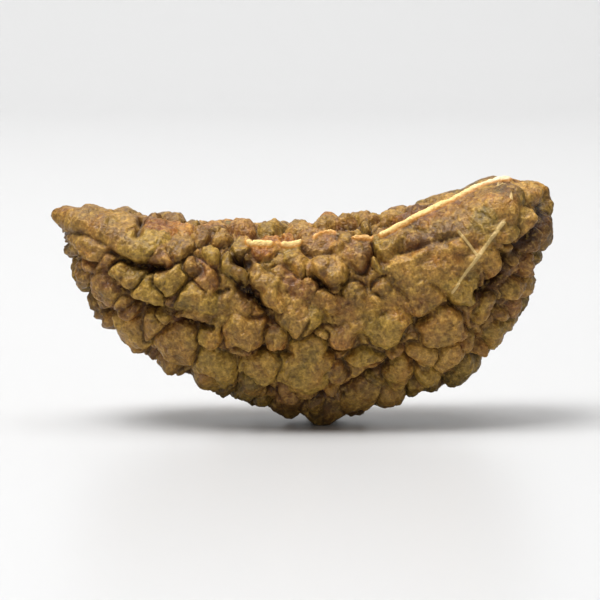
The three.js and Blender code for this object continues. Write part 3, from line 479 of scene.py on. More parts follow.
# relief finer than the knobs: cell or wave size and height, in millimetres
fine = {
    "pointSpacing": 0.115,
    "ringCloseness": 0.9,
    # how the cells are bent out of their straight grid
    "bend": 0.12,
    "bendSize": 0.5,
    # the fine relief fades out this far above the floor of a crease
    "creaseFade": 0.25,
    "foldSize": 1.6,
    "foldHeight": 0.2,
    "wrinkleSize": 0.8,
    "wrinkleHeight": 0.14,
    "granuleSize": 0.75,
    "granuleHeight": 0.12,
    "grainSize": 0.36,
    "grainHeight": 0.1,
    "fibreSize": 1.3,
    "fibreHeight": 0.1,
    "fibreSharpness": 7.0,
    # how much smoother it is on the far rim, in calm areas, in the bed of the face line and
    # on the tip of the beak
    "rimCalm": 0.5,
    "calmLoss": 0.35,
    "bedLoss": 0.6,
    "beakLoss": 0.6,
    "rimWidth": 2.0,
    # furrows, ridges and the face line vary along their length: wave size, least, spread
    "lineWave": 0.8,
    "furrowLeast": 0.55,
    "furrowSpread": 0.9,
    "ridgeLeast": 0.6,
    "ridgeSpread": 0.4,
    "brightWave": 0.7,
    "brightLeast": 0.6,
    "brightSpread": 0.7,
    "lineLeast": 0.35,
}

# heights in millimetres at which a colour of the relief reaches its full share
fullAt = {
    "gap": 0.8,
    "liftFrom": -0.4,
    "lift": 1.3,
    "sunk": 0.6,
    "granule": 0.48,
    "raised": 0.2,
}


def clampTo(values, low, high):
    return np.minimum(np.maximum(values, low), high)


# the curved body

# a smooth curve through the stations
def stationValue(angle, column):
    table = np.array(body["stations"])
    xs, ys = table[:, 0], table[:, column]
    count = len(xs)
    i = clampTo(np.searchsorted(xs, angle, side="left"), 1, count - 1)
    before = np.maximum(np.arange(count) - 1, 0)
    after = np.minimum(np.arange(count) + 1, count - 1)
    slopes = (ys[after] - ys[before]) / (xs[after] - xs[before])
    width = xs[i] - xs[i - 1]
    s = (angle - xs[i - 1]) / width
    s2, s3 = s * s, s * s * s
    return (
        (2 * s3 - 3 * s2 + 1) * ys[i - 1]
        + (s3 - 2 * s2 + s) * width * slopes[i - 1]
        + (3 * s2 - 2 * s3) * ys[i]
        + (s3 - s2) * width * slopes[i]
    )


# a section: where it is widest, how far it goes inward and outward, and its half thickness
def sectionAt(angle):
    angle = np.asarray(angle, dtype=float)
    beak = clampTo((body["beakEnd"] + body["beakRound"] - angle) / body["beakRound"], 0, 1)
    lobe = clampTo((angle - body["lobeEnd"] + body["lobeRound"]) / body["lobeRound"], 0, 1)
    share = np.sqrt((1 - beak * beak) * (1 - lobe * lobe))
    inner, outer = stationValue(angle, 1), stationValue(angle, 2)
    middle = (inner + outer) / 2
    half = (outer - inner) / 2 * share
    widest = middle - half + 2 * half * body["widestShare"]
    inward = 2 * half * body["widestShare"]
    outward = 2 * half * (1 - body["widestShare"])
    return widest, inward, outward, stationValue(angle, 3) * share


def fanPoint(angle, distance, y):
    turn = np.radians(angle)
    x = body["fanX"] + distance * np.sin(turn)
    z = body["fanZ"] - distance * np.cos(turn)
    return np.stack(np.broadcast_arrays(x, y, z), axis=-1)


# the angle and the distance of points, as the fan of sections counts them
def fanPlace(points):
    dx, dz = points[..., 0] - body["fanX"], body["fanZ"] - points[..., 2]
    return np.degrees(np.arctan2(dx, dz)), np.hypot(dx, dz)


# a point on the body: the section's angle, and the turn round the section
def bodyPoint(angle, turn):
    widest, inward, outward, thick = sectionAt(angle)
    c, s = np.cos(turn), np.sin(turn)
    power = np.where(s > 0, body["outerPower"], body["innerPower"])
    reach = np.where(s > 0, outward, inward)
    y = thick * np.sign(c) * np.abs(c) ** (2 / power)
    distance = widest + reach * np.sign(s) * np.abs(s) ** (2 / power)
    return fanPoint(angle, distance, y)


# below one inside the body, above one outside
def bodyLevel(angle, distance, y):
    widest, inward, outward, thick = sectionAt(angle)
    beyond = distance > widest
    power = np.where(beyond, body["outerPower"], body["innerPower"])
    reach = np.where(beyond, outward, inward)
    return np.abs(y / thick) ** power + np.abs((distance - widest) / reach) ** power


def bodyNormal(points):
    angle, distance = fanPlace(points)
    y = points[..., 1]
    step = 1e-4
    low = np.maximum(angle - step, body["beakEnd"] + 1e-6)
    high = np.minimum(angle + step, body["lobeEnd"] - 1e-6)
    inside = np.minimum(np.maximum(angle, low), high)
    rise = bodyLevel(high, distance, y) - bodyLevel(low, distance, y)
    along = rise / (np.radians(high - low) * distance)
    away = bodyLevel(inside, distance + step, y) - bodyLevel(inside, distance - step, y)
    across = bodyLevel(inside, distance, y + step) - bodyLevel(inside, distance, y - step)
    away, across = away / (2 * step), across / (2 * step)
    sin, cos = np.sin(np.radians(angle)), np.cos(np.radians(angle))
    normal = np.stack([away * sin + along * cos, across, -away * cos + along * sin], axis=-1)
    return normal / np.linalg.norm(normal, axis=-1, keepdims=True)


def keptAngle(angle):
    keep = body["keepFromEnds"]
    return clampTo(angle, body["beakEnd"] + keep, body["lobeEnd"] - keep)


# moves points onto the body, along their own section
def toBody(points):
    angle, distance = fanPlace(points)
    angle = keptAngle(angle)
    widest, inward, outward, thick = sectionAt(angle)
    offset = distance - widest
    reach = np.where(offset > 0, outward, inward)
    power = np.where(offset > 0, body["outerPower"], body["innerPower"])
    level = np.abs(points[..., 1] / thick) ** power + np.abs(offset / reach) ** power
    level = level ** (1 / power)
    return fanPoint(angle, widest + offset / level, points[..., 1] / level)


# the point of the body that is seen at x, z from the front, found in a few rounds
def frontPoint(x, z):
    tilt = math.radians(body["sightTilt"])
    depth, rounds = -4.0, 12
    for _ in range(rounds):
        height = (z - depth * math.sin(tilt)) / math.cos(tilt)
        angle, distance = fanPlace(np.array([x, 0.0, height]))
        widest, inward, outward, thick = sectionAt(keptAngle(angle))
        beyond = distance > widest
        power = body["outerPower"] if beyond else body["innerPower"]
        part = min(abs((distance - widest) / (outward if beyond else inward)), 1)
        depth = -thick * (1 - part ** power) ** (1 / power)
    return toBody(np.array([x, depth, height]))


# the point of the concave face at x, y
def topPoint(x, y):
    firstZ, rounds = 12, 12
    angle = math.degrees(math.atan2(x - body["fanX"], body["fanZ"] - firstZ))
    power = body["innerPower"]
    for _ in range(rounds):
        widest, inward, outward, thick = sectionAt(angle)
        part = min(abs(y / thick), 1)
        distance = widest - inward * (1 - part ** power) ** (1 / power)
        offset = x - body["fanX"] - distance * math.sin(math.radians(angle))
        angle += math.degrees(offset / distance / math.cos(math.radians(angle)))
        angle = float(keptAngle(angle))
    return toBody(fanPoint(angle, distance, y))


# the knobs

# bends the pattern of knobs in gentle waves, so that no rows or straight edges are left
def drift(p):
    x, y, z = p[..., 0], p[..., 1], p[..., 2]
    size = knobShape["driftSize"]
    sin = np.sin
    return np.stack([
        x + size * (sin(2.3 * y + 1.1 * z + 0.4) + 0.6 * sin(4.1 * z - 2.2 * x)),
        y + size * (sin(2.1 * z + 1.7 * x + 2.1) + 0.6 * sin(3.7 * x + 2.9 * y)),
        z + size * (sin(2.5 * x - 1.3 * y + 4.2) + 0.6 * sin(4.4 * y - 1.9 * z)),
    ], axis=-1)


def makeKnob(point, direction, half, width, height, power, tint):
    normal = bodyNormal(point)
    along = direction - np.dot(direction, normal) * normal
    along = along / np.linalg.norm(along)
    return {
        "centre": drift(point),
        "frame": np.array([along, np.cross(normal, along), normal]),
        "fall": np.array([-along[2], -np.cross(normal, along)[2]]) / max(half, width),
        "half": half,
        "width": width,
        "height": height,
        "power": power,
        "tint": tint,
    }


def placedKnobs():
    knobs = []
    for x, z, half, width, angle, height, power, tint in frontKnobs:
        turn = math.radians(angle)
        along = np.array([math.cos(turn), 0, math.sin(turn)])
        spread = knobShape["plateSpread" if power > knobShape["plateFrom"] else "spread"]
        size = (half * spread, width * spread, height, power + knobShape["squarer"])
        knobs.append(makeKnob(frontPoint(x, z), along, *size, tint))
    for x, y, half, width, angle, height, power, tint in topKnobs:
        turn = math.radians(angle)
        along = np.array([math.cos(turn), math.sin(turn), 0])
        spread = knobShape["spread"]
        size = (half * spread, width * spread, height, power + knobShape["squarer"])
        knobs.append(makeKnob(topPoint(x, y), along, *size, tint))
    return knobs


# a plain congruential generator, so that the knobs are the same in each run
def randomNumbers(seed, count):
    state, numbers = seed, []
    factor, step, whole = 1664525, 1013904223, 4294967296
    for _ in range(count):
        state = (state * factor + step) % whole
        numbers.append(state / whole)
    return numbers


# from large to small, a knob goes wherever no other one is too close
def fillKnobs(knobs):
    perKnob = 8
    total = len(fill["radii"]) * fill["tries"]
    draws = np.array(randomNumbers(fill["seed"], total * perKnob)).reshape(total, perKnob)
    low, high = body["beakEnd"] + fill["endsFree"], body["lobeEnd"] - fill["endsFree"]
    angles = low + (high - low) * draws[:, 0]
    largest = fill["beakRadius"] + fill["beakGrowth"] * (angles - low)
    points = bodyPoint(angles, 2 * math.pi * draws[:, 1])
    centres = drift(points)
    held = np.array([k["centre"] for k in knobs])
    frames = np.array([k["frame"] for k in knobs])
    sizes = np.array([(k["half"], k["width"], k["width"]) for k in knobs])
    for i in range(total):
        radius = fill["radii"][i // fill["tries"]]
        if radius > largest[i]:
            continue
        offset = centres[i] - held
        away = np.linalg.norm(offset, axis=1)
        near = away < fill["nearMm"]
        local = np.einsum("kij,kj->ki", frames[near], offset[near]) / sizes[near]
        edge = away[near] / np.maximum(np.linalg.norm(local, axis=1), 1e-9)
        front = points[i, 1] < fill["frontEdge"]
        closeness = fill["frontCloseness"] if front else fill["closeness"]
        if np.any(away[near] <= closeness * (radius + edge)):
            continue
        stretch = 1 + fill["stretch"] * draws[i, 2]
        half, width = radius * math.sqrt(stretch), radius / math.sqrt(stretch)
        height = fill["height"] + fill["heightPerRadius"] * radius
        height += fill["heightSpread"] * draws[i, 6]
        power = fill["power"] + fill["powerSpread"] * draws[i, 7]
        tint = fill["tints"][int(draws[i, 6] * fill["tintStep"]) % len(fill["tints"])]
        knob = makeKnob(points[i], draws[i, 3:6] - 0.5, half, width, height, power, tint)
        knobs.append(knob)
        held = np.vstack([held, knob["centre"]])
        frames = np.concatenate([frames, knob["frame"][None]])
        sizes = np.vstack([sizes, (half, width, width)])
    return knobs


# each knob is a low dome and the highest one wins; how far it is above the next one tells how
# close a crease is
def knobRelief(points, knobs):
    moved = drift(points)
    count = len(points)
    best = np.full(count, knobShape["floor"])
    second = np.full(count, knobShape["floor"] - knobShape["widestGap"])
    owner = np.full(count, -1)
    for index, knob in enumerate(knobs):
        offset = moved - knob["centre"]
        reach = knobShape["reach"] * max(knob["half"], knob["width"])
        near = np.nonzero(np.einsum("ij,ij->i", offset, offset) < reach * reach)[0]
        local = offset[near] @ knob["frame"].T
        u, v, w = (local / (knob["half"], knob["width"], knob["width"])).T
        away = np.sqrt(u * u + v * v + knobShape["depthShare"] * w * w)
        lean = 1 + knobShape["overhang"] * clampTo(local[:, :2] @ knob["fall"], -1, 1)
        height = knob["height"] * lean * (1 - away ** knob["power"])
        wins = height > best[near]
        second[near] = np.where(wins, best[near], np.maximum(second[near], height))
        best[near] = np.where(wins, height, best[near])
        owner[near[wins]] = index
    gap = best - second
    soft, half = knobShape["softness"], knobShape["creaseHalf"]
    crease = knobShape["creaseDepth"] * np.exp(-(gap / half) ** 2)
    crease *= clampTo((second - knobShape["floor"]) / half, 0, 1)
    return best + soft * np.log1p(np.exp(-gap / soft)) - crease, gap, owner


def placeLines(rows):
    lines = []
    for half, size, *places in rows:
        spots = [frontPoint(x, z) for x, z in zip(places[::2], places[1::2])]
        lines.append((half, size, np.array(spots)))
    return lines


def lineDistance(points, spots, reach):
    distance = np.full(len(points), 1e3)
    low, high = spots.min(0) - reach, spots.max(0) + reach
    near = np.nonzero(np.all((points > low) & (points < high), axis=1))[0]
    nearest = distance[near]
    for start, end in zip(spots[:-1], spots[1:]):
        span = end - start
        offset = points[near] - start
        share = clampTo(offset @ span / np.dot(span, span), 0, 1)
        gap = offset - share[:, None] * span
        nearest = np.minimum(nearest, np.linalg.norm(gap, axis=1))
    distance[near] = nearest
    return distance


def lineRelief(points, lines):
    most = np.zeros(len(points))
    for half, size, spots in lines:
        away = lineDistance(points, spots, 3 * half) / half
        most = np.maximum(most, size * np.exp(-away ** 2))
    return most


# one on a line and none at twice its half width, falling evenly, so that it colours sharply
def lineShare(points, lines):
    most = np.zeros(len(points))
    for half, size, spots in lines:
        most = np.maximum(most, 1 - lineDistance(points, spots, 4 * half) / (2 * half))
    return most


def dipRelief(points):
    most = np.zeros(len(points))
    far = clampTo(points[:, 1] - dipFrom, 0, 1)
    for x, half, depth in rimDips:
        most = np.maximum(most, depth * far * np.exp(-((points[:, 0] - x) / half) ** 2))
    return most


# one in the middle of an oblong area and none well outside it
def calmWeight(points, centre, half, width, angle, up):
    turn = math.radians(angle)
    offset = points - centre
    along = offset[:, 0] * math.cos(turn) + offset[:, up] * math.sin(turn)
    across = -offset[:, 0] * math.sin(turn) + offset[:, up] * math.cos(turn)
    return np.exp(-((along / half) ** 2 + (across / width) ** 2) ** 2)


def calmed(points, relief):
    calm = np.zeros(len(points))
    for x, z, half, width, angle, level, share in calmAreas:
        centre = frontPoint(x, z)
        near = points[:, 1] < centre[1] + calmDepth
        weight = share * near * calmWeight(points, centre, half, width, angle, 2)
        relief = relief * (1 - weight) + level * weight
        calm = np.maximum(calm, weight)
    fanAngle, distance = fanPlace(points)
    onTop = clampTo((sectionAt(fanAngle)[0] - distance) / rimCalmFade + 1, 0, 1)
    for x, y, half, width, angle, level, share in rimCalmAreas:
        weight = share * onTop * calmWeight(points, topPoint(x, y), half, width, angle, 1)
        relief = relief * (1 - weight) + level * weight
        calm = np.maximum(calm, weight)
    return relief, calm


def stainAndShadeShare(points):
    most = np.zeros(len(points))
    for x, z, half, width, angle, share in stainAndShadePatches:
        centre = frontPoint(x, z)
        near = points[:, 1] < centre[1] + stainAndShadeDepth
        most = np.maximum(most, share * near * calmWeight(points, centre, half, width, angle, 2))
    return most


def calmStrokes(points, calm):
    dx, dz = points[:, 0] - strokes["fromX"], points[:, 2] - strokes["fromZ"]
    turn = np.arctan2(dz, dx) * strokes["perRadian"]
    reach = np.hypot(dx, dz) / strokes["waveMm"]
    spread = np.stack([turn, reach, points[:, 1] / strokes["waveMm"]], axis=-1)
    share = clampTo((strokes["untilX"] - points[:, 0]) / strokes["fade"], 0, 1)
    beak = strokes["height"] * foldedWaves(spread, 1.0, 31) * share
    angle = math.radians(grooves["angle"])
    along = points[:, 0] * math.cos(angle) + points[:, 2] * math.sin(angle)
    across = points[:, 2] * math.cos(angle) - points[:, 0] * math.sin(angle)
    along, across = along / grooves["lengthMm"], across / grooves["spacingMm"]
    sheet = np.stack([along, across, points[:, 1]], axis=-1)
    share = clampTo((points[:, 0] - grooves["fromX"]) / grooves["fade"], 0, 1)
    return calm * (beak + grooves["height"] * foldedWaves(sheet, 1.0, 37) * share)


# draws the lowest knob down to its blunt point, with nothing below the floor
def footShape(out, small):
    x = out[:, 0]
    left = (-x - foot["flatX"]) * foot["leftSlope"]
    right = (x - foot["flatX"]) * foot["rightSlope"]
    rise = np.maximum(np.maximum(left, right), 0)
    level = np.maximum(rise - foot["grain"] * small, 0)
    share = 1 - clampTo((np.abs(out[:, 1]) - foot["flatY"]) / foot["endFade"], 0, 1)
    share = share * share * (3 - 2 * share)
    drop = np.maximum(out[:, 2] - level, 0) * (out[:, 2] < foot["topZ"])
    out[:, 2] = np.maximum(out[:, 2] - share * drop, 0)
    return out


def beakShare(points):
    angle, distance = fanPlace(points)
    share = clampTo((angle - body["beakEnd"]) / body["beakFade"], 0, 1)
    return body["beakKeep"] + (1 - body["beakKeep"]) * share


def faceLineShare(x):
    most = np.zeros(len(x))
    fade = faceLine["stretchFade"]
    for start, end, share in faceLine["stretches"]:
        inside = clampTo((x - start) / fade, 0, 1) * clampTo((end - x) / fade, 0, 1)
        most = np.maximum(most, share * inside)
    return most


def faceLineAway(points):
    places = faceLine["places"]
    spots = [topPoint(x, y) for x, y in zip(places[::2], places[1::2])]
    return lineDistance(points, np.array(spots), 3.0)


def troughRelief(points):
    angle, distance = fanPlace(points)
    widest, inward, outward, thick = sectionAt(angle)
    share = (widest - distance) / np.maximum(inward, 0.01)
    flat = clampTo((share - body["troughFrom"]) / body["troughFade"], 0, 1)
    deep = np.minimum(thick / body["troughThick"], 1)
    return -body["troughDepth"] * flat * deep * np.exp(-(points[:, 1] / body["troughHalf"]) ** 2)


# finer relief from hashed cells, so that it is the same in each run

def cellRandom(cells, seed):
    with np.errstate(over="ignore"):
        c = cells.astype(np.int64).astype(np.uint32)
        h = c[..., 0] * np.uint32(374761393) + c[..., 1] * np.uint32(668265263)
        h = h + c[..., 2] * np.uint32(2246822519) + np.uint32(seed) * np.uint32(3266489917)
        out = []
        for _ in range(3):
            h = (h ^ (h >> np.uint32(15))) * np.uint32(2246822519)
            h = (h ^ (h >> np.uint32(13))) * np.uint32(3266489917)
            h = h ^ (h >> np.uint32(16))
            out.append(h.astype(float) / 4294967295.0)
    return np.stack(out, axis=-1)


# distances to the nearest and to the second nearest centre of a scattered cell
def cellGaps(points, size, seed):
    place = points / size
    base = np.floor(place)
    first = np.full(len(points), 9.0)
    second = np.full(len(points), 9.0)
    for dx in (-1, 0, 1):
        for dy in (-1, 0, 1):
            for dz in (-1, 0, 1):
                cell = base + np.array([dx, dy, dz])
                away = np.linalg.norm(cell + cellRandom(cell, seed) - place, axis=1)
                second = np.minimum(np.maximum(away, first), second)
                first = np.minimum(away, first)
    return first, second


# soft random waves from 0 to 1
def waves(points, size, seed):
    place = points / size
    base = np.floor(place)
    f = place - base
    f = f * f * (3 - 2 * f)
    total = np.zeros(len(points))
    for dx in (0, 1):
        for dy in (0, 1):
            for dz in (0, 1):
                value = cellRandom(base + np.array([dx, dy, dz]), seed)[:, 0]
                wx = f[:, 0] if dx else 1 - f[:, 0]
                wy = f[:, 1] if dy else 1 - f[:, 1]
                wz = f[:, 2] if dz else 1 - f[:, 2]
                total += value * wx * wy * wz
    return total


def foldedWaves(points, size, seed):
    wave = 0.65 * waves(points, size, seed) + 0.35 * waves(points, size / 2, seed + 1)
    return 1 - np.abs(2 * wave - 1)


def cellDomes(points, size, seed):
    first, second = cellGaps(points, size, seed)
    border = clampTo((second - first) / 0.5, 0, 1)
    return 0.5 * (1 - (1 - border) ** 3) + 0.5 * (1 - clampTo(first / 0.8, 0, 1) ** 2)


def fineRelief(points, gap):
    bends = [waves(points, fine["bendSize"], k) - 0.5 for k in (1, 2, 3)]
    bent = points + fine["bend"] * np.stack(bends, axis=-1)
    granules = fine["granuleHeight"] * cellDomes(bent, fine["granuleSize"], 11)
    grains = fine["grainHeight"] * cellDomes(bent, fine["grainSize"], 23)
    folds = fine["foldHeight"] * foldedWaves(bent, fine["foldSize"], 15) ** 1.5
    fibres = fine["fibreHeight"] * foldedWaves(bent, fine["fibreSize"], 5) ** fine["fibreSharpness"]
    wrinkles = fine["wrinkleHeight"] * foldedWaves(bent, fine["wrinkleSize"], 19) ** 2
    shown = clampTo(gap / fine["creaseFade"], 0, 1)
    return shown * (folds + wrinkles + granules + grains + fibres)


# the surface as rings of points round the body, stitched together

def ringAngles(spacing):
    steps, turns = 1500, 12
    share = (1 - np.cos(np.pi * np.arange(steps + 1) / steps)) / 2
    angles = body["beakEnd"] + (body["lobeEnd"] - body["beakEnd"]) * share
    around = 2 * np.pi * np.arange(turns) / turns
    points = bodyPoint(angles[:, None], around[None, :])
    moves = np.linalg.norm(np.diff(points, axis=0), axis=2).max(axis=1)
    travelled = np.concatenate([[0], np.cumsum(moves)])
    count = round(travelled[-1] / (spacing * fine["ringCloseness"]))
    return np.interp(travelled[-1] * np.arange(1, count) / count, travelled, angles)


def ringPoints(angle, shift, spacing):
    steps = 720
    turns = -np.pi / 2 + 2 * np.pi * np.arange(steps + 1) / steps
    walk = np.linalg.norm(np.diff(bodyPoint(angle, turns), axis=0), axis=1)
    travelled = np.concatenate([[0], np.cumsum(walk)])
    count = max(round(travelled[-1] / spacing), 5)
    places = (np.arange(count) + shift) / count
    return bodyPoint(angle, np.interp(travelled[-1] * places, travelled, turns)), places


# triangles between two rings, by turns from the one whose next point comes first
def stitch(low, lowStart, high, highStart, faces):
    i, j, lows, highs = 0, 0, len(low), len(high)
    while i < lows or j < highs:
        nextLow = low[(i + 1) % lows] + (i + 1) // lows if i < lows else math.inf
        nextHigh = high[(j + 1) % highs] + (j + 1) // highs if j < highs else math.inf
        a, b = lowStart + i % lows, highStart + j % highs
        if nextLow < nextHigh:
            i += 1
            faces.append((a, b, lowStart + i % lows))
        else:
            j += 1
            faces.append((a, b, highStart + j % highs))


def bodySurface(spacing):
    beak = bodyPoint(body["beakEnd"], 0.0)
    lobe = bodyPoint(body["lobeEnd"], 0.0)
    points, faces, starts, rings = [beak[None]], [], [], []
    total = 1
    for k, angle in enumerate(ringAngles(spacing)):
        spots, places = ringPoints(angle, 0.5 if k % 2 else 0.0, spacing)
        points.append(spots)
        starts.append(total)
        rings.append(places)
        total += len(spots)
    points.append(lobe[None])
    first, count = starts[0], len(rings[0])
    faces += [(0, first + k, first + (k + 1) % count) for k in range(count)]
    for k in range(1, len(rings)):
        stitch(rings[k - 1], starts[k - 1], rings[k], starts[k], faces)
    first, count = starts[-1], len(rings[-1])
    faces += [(total, first + (k + 1) % count, first + k) for k in range(count)]
    points = np.concatenate(points)
    normals = bodyNormal(points)
    for index, angle, sign in ((0, body["beakEnd"], -1), (total, body["lobeEnd"], 1)):
        turn = math.radians(angle)
        normals[index] = sign * np.array([math.cos(turn), 0, math.sin(turn)])
    return points, normals, faces


# colours and the bead's mesh

def linearColour(hexText):
    parts = [int(hexText[k:k + 2], 16) / 255 for k in (1, 3, 5)]
    return [p / 12.92 if p <= 0.04045 else ((p + 0.055) / 1.055) ** 2.4 for p in parts]


# heights over the plain body: of everything, of the fine relief alone, and the values between
# none and one that the colours are worked out from
def beadRelief(points, normals):
    knobs = fillKnobs(placedKnobs())
    print("knobs:", len(knobs))
    relief, gap, owner = knobRelief(points, knobs)
    relief, calm = calmed(points, relief)
    uneven = fine["furrowLeast"] + fine["furrowSpread"] * waves(points, fine["lineWave"], 41)
    sunk = lineRelief(points, placeLines(furrows)) * uneven
    raised = lineRelief(points, placeLines(ridges))
    raised *= fine["ridgeLeast"] + fine["ridgeSpread"] * uneven
    fibre = lineRelief(points, placeLines(fibreLines))
    granules = fineRelief(points, gap + calm) * (1 - fine["calmLoss"] * calm)
    stroked = calmStrokes(points, calm)
    away = faceLineAway(points)
    bright = fine["brightLeast"] + fine["brightSpread"] * waves(points, fine["brightWave"], 43)
    bright = faceLineShare(points[:, 0]) * clampTo(bright, 0, 1)
    bed = np.exp(-(away / faceLine["bedHalf"]) ** 4)
    small = granules * (1 - fine["bedLoss"] * bed)
    small = small * (1 - fine["rimCalm"] * rimShare(points)) + stroked
    height = relief + troughRelief(points) - dipRelief(points) - sunk + raised + fibre
    height = height * (1 - bed) + faceLine["bed"] * bed
    crest = faceLine["height"] * np.exp(-(away / faceLine["half"]) ** 2)
    height += crest * (fine["lineLeast"] + (1 - fine["lineLeast"]) * bright)
    share = beakShare(points)
    height = height * share + small * (1 - fine["beakLoss"] * (1 - share))
    lift = (relief - sunk - fullAt["liftFrom"]) / fullAt["lift"]
    values = {
        # gap and lift also darken the creases between knobs and the low places, as painted shade
        "gap": clampTo((gap + calm) / fullAt["gap"], 0, 1),
        "lift": clampTo(lift, 0, 1),
        # sunk also darkens the furrows: dark dirt and painted shade
        "sunk": clampTo(sunk / fullAt["sunk"], 0, 1),
        "fibre": lineShare(points, placeLines(fibreLines)),
        # faceLine: where the face line is painted pale gold as painted highlight
        "faceLine": clampTo(1 - away / (2 * faceLine["half"]), 0, 1) * bright,
        # edge: painted shade along the outline
        "edge": outlineShadeShare(points, normals),
        # granule and raised also give the painted highlight on crests and ridges
        "granule": clampTo((granules + stroked) / fullAt["granule"], 0, 1),
        "raised": clampTo(raised / fullAt["raised"], 0, 1),
        # red-brown tone with painted shade in hollows
        "stainAndShade": stainAndShadeShare(points),
    }
    ownTints = [knob["tint"] for knob in knobs] + ["b"]
    palette = np.array([linearColour(tints[tint]) + [1.0] for tint in ownTints])
    return height, small, values, palette[owner]


def makeBead():
    points, normals, faces = bodySurface(fine["pointSpacing"])
    print("bead surface:", len(points), "points,", len(faces), "triangles")
    height, small, values, colours = beadRelief(points, normals)
    out = points + normals * height[:, None] - np.array([body["restX"], body["restY"], 0])
    out = footShape(out, small)
    mesh = bpy.data.meshes.new("bead")
    mesh.from_pydata((out * mm).tolist(), [], faces)
    mesh.polygons.foreach_set("use_smooth", [True] * len(faces))
    writeColour(mesh, "knobTint", colours)
    for name, value in values.items():
        writeValue(mesh, name, value)
    mesh.update()
    piece = bpy.data.objects.new("rudrakshaBead", mesh)
    bpy.context.scene.collection.objects.link(piece)
    return piece


# one on the far rim of the concave face
def rimShare(points):
    angle, distance = fanPlace(points)
    concave = distance < sectionAt(angle)[0]
    return np.where(concave, clampTo(points[:, 1] / fine["rimWidth"], 0, 1), 0)


# one where the outline is seen from the front, except on the near half of the concave face; the
# outline is painted darker there, as painted shade
def outlineShadeShare(points, normals):
    angle, distance = fanPlace(points)
    concave = distance < sectionAt(angle)[0]
    turned, turnedFade = 0.5, 0.4
    across = clampTo((turned - np.abs(normals[:, 1])) / turnedFade, 0, 1)
    return across * np.where(concave, rimShare(points), 1)


def writeValue(mesh, name, values):
    layer = mesh.attributes.new(name, "FLOAT", "POINT")
    layer.data.foreach_set("value", np.asarray(values, dtype=np.float32))


def writeColour(mesh, name, values):
    layer = mesh.attributes.new(name, "FLOAT_COLOR", "POINT")
    layer.data.foreach_set("color", np.asarray(values, dtype=np.float32).ravel())


# materials

def addNode(tree, kind, settings=None, links=None):
    node = tree.nodes.new(kind)
    for name, value in (settings or {}).items():
        if name.startswith("."):
            setattr(node, name[1:], value)
        else:
            key = int(name) if name.isdigit() else name
            node.inputs[key].default_value = value
    for name, source in (links or {}).items():
        key = int(name) if name.isdigit() else name
        tree.links.new(source, node.inputs[key])
    return node


stoneLook = {
    # the furrows nearly black: dark dirt and painted shade
    "furrowDirtAndShadeColour": "#220d03",
    # painted shade in the low places and in the creases between knobs
    "hollowShadeColour": "#361a06",
    # a pale tone of the knobs, and painted highlight on crests and ridges
    "crestToneAndHighlightColour": "#a47e34",
    "redColour": "#7a3a0e",
    "oliveColour": "#625214",
    # red-brown tone, with painted shade in the hollows
    "stainAndShadeColour": "#44200e",
    # painted shade: the underside and the outline are darkened with this
    "underAndOutlineShadeColour": "#332c12",
    # painted highlight along the face line
    "lineEdgeHighlightColour": "#c8842e",
    "lineHighlightColour": "#ffd88c",
    "paleLineHighlightColour": "#fdebc2",
    "fibreColour": "#d8b878",
    "fleckColour": "#c29c50",
    "poreColour": "#4a260a",
    # sizes of the colour patterns; the real pores are about 0.05 mm wide, too fine to show, so
    # the grain is drawn a little coarser
    "mottleMm": 1.6,
    "patchMm": 0.5,
    "fleckMm": 0.3,
    "grainMm": 0.14,
    # how much of each colour is mixed in where its pattern is strongest
    "redShare": 0.55,
    "oliveShare": 0.5,
    "crestToneAndHighlightShare": 0.3,
    "ridgeHighlightShare": 0.55,
    "hollowShadeShare": 0.7,
    "creaseShadeShare": 0.35,
    "furrowDirtAndShadeShare": 0.9,
    "rimShare": 0.4,
    "outlineShadeShare": 0.5,
    "fleckShare": 0.35,
    "poreShare": 0.4,
    "fibreShare": 0.85,
    "lineEdgeHighlightShare": 0.9,
    # the underside is painted darker between these heights, as painted shade, and the line's
    # painted highlight pales between these places
    "underMm": (3.2, 0.4),
    "paleFromMm": (8.5, 11.0),
    "grainBumpMm": 0.07,
    "fleckBumpMm": 0.14,
    "roughness": 0.45,
    "smoother": 0.1,
    "rougher": 0.12,
    "ior": 1.5,
    "gloss": 0.36,
}
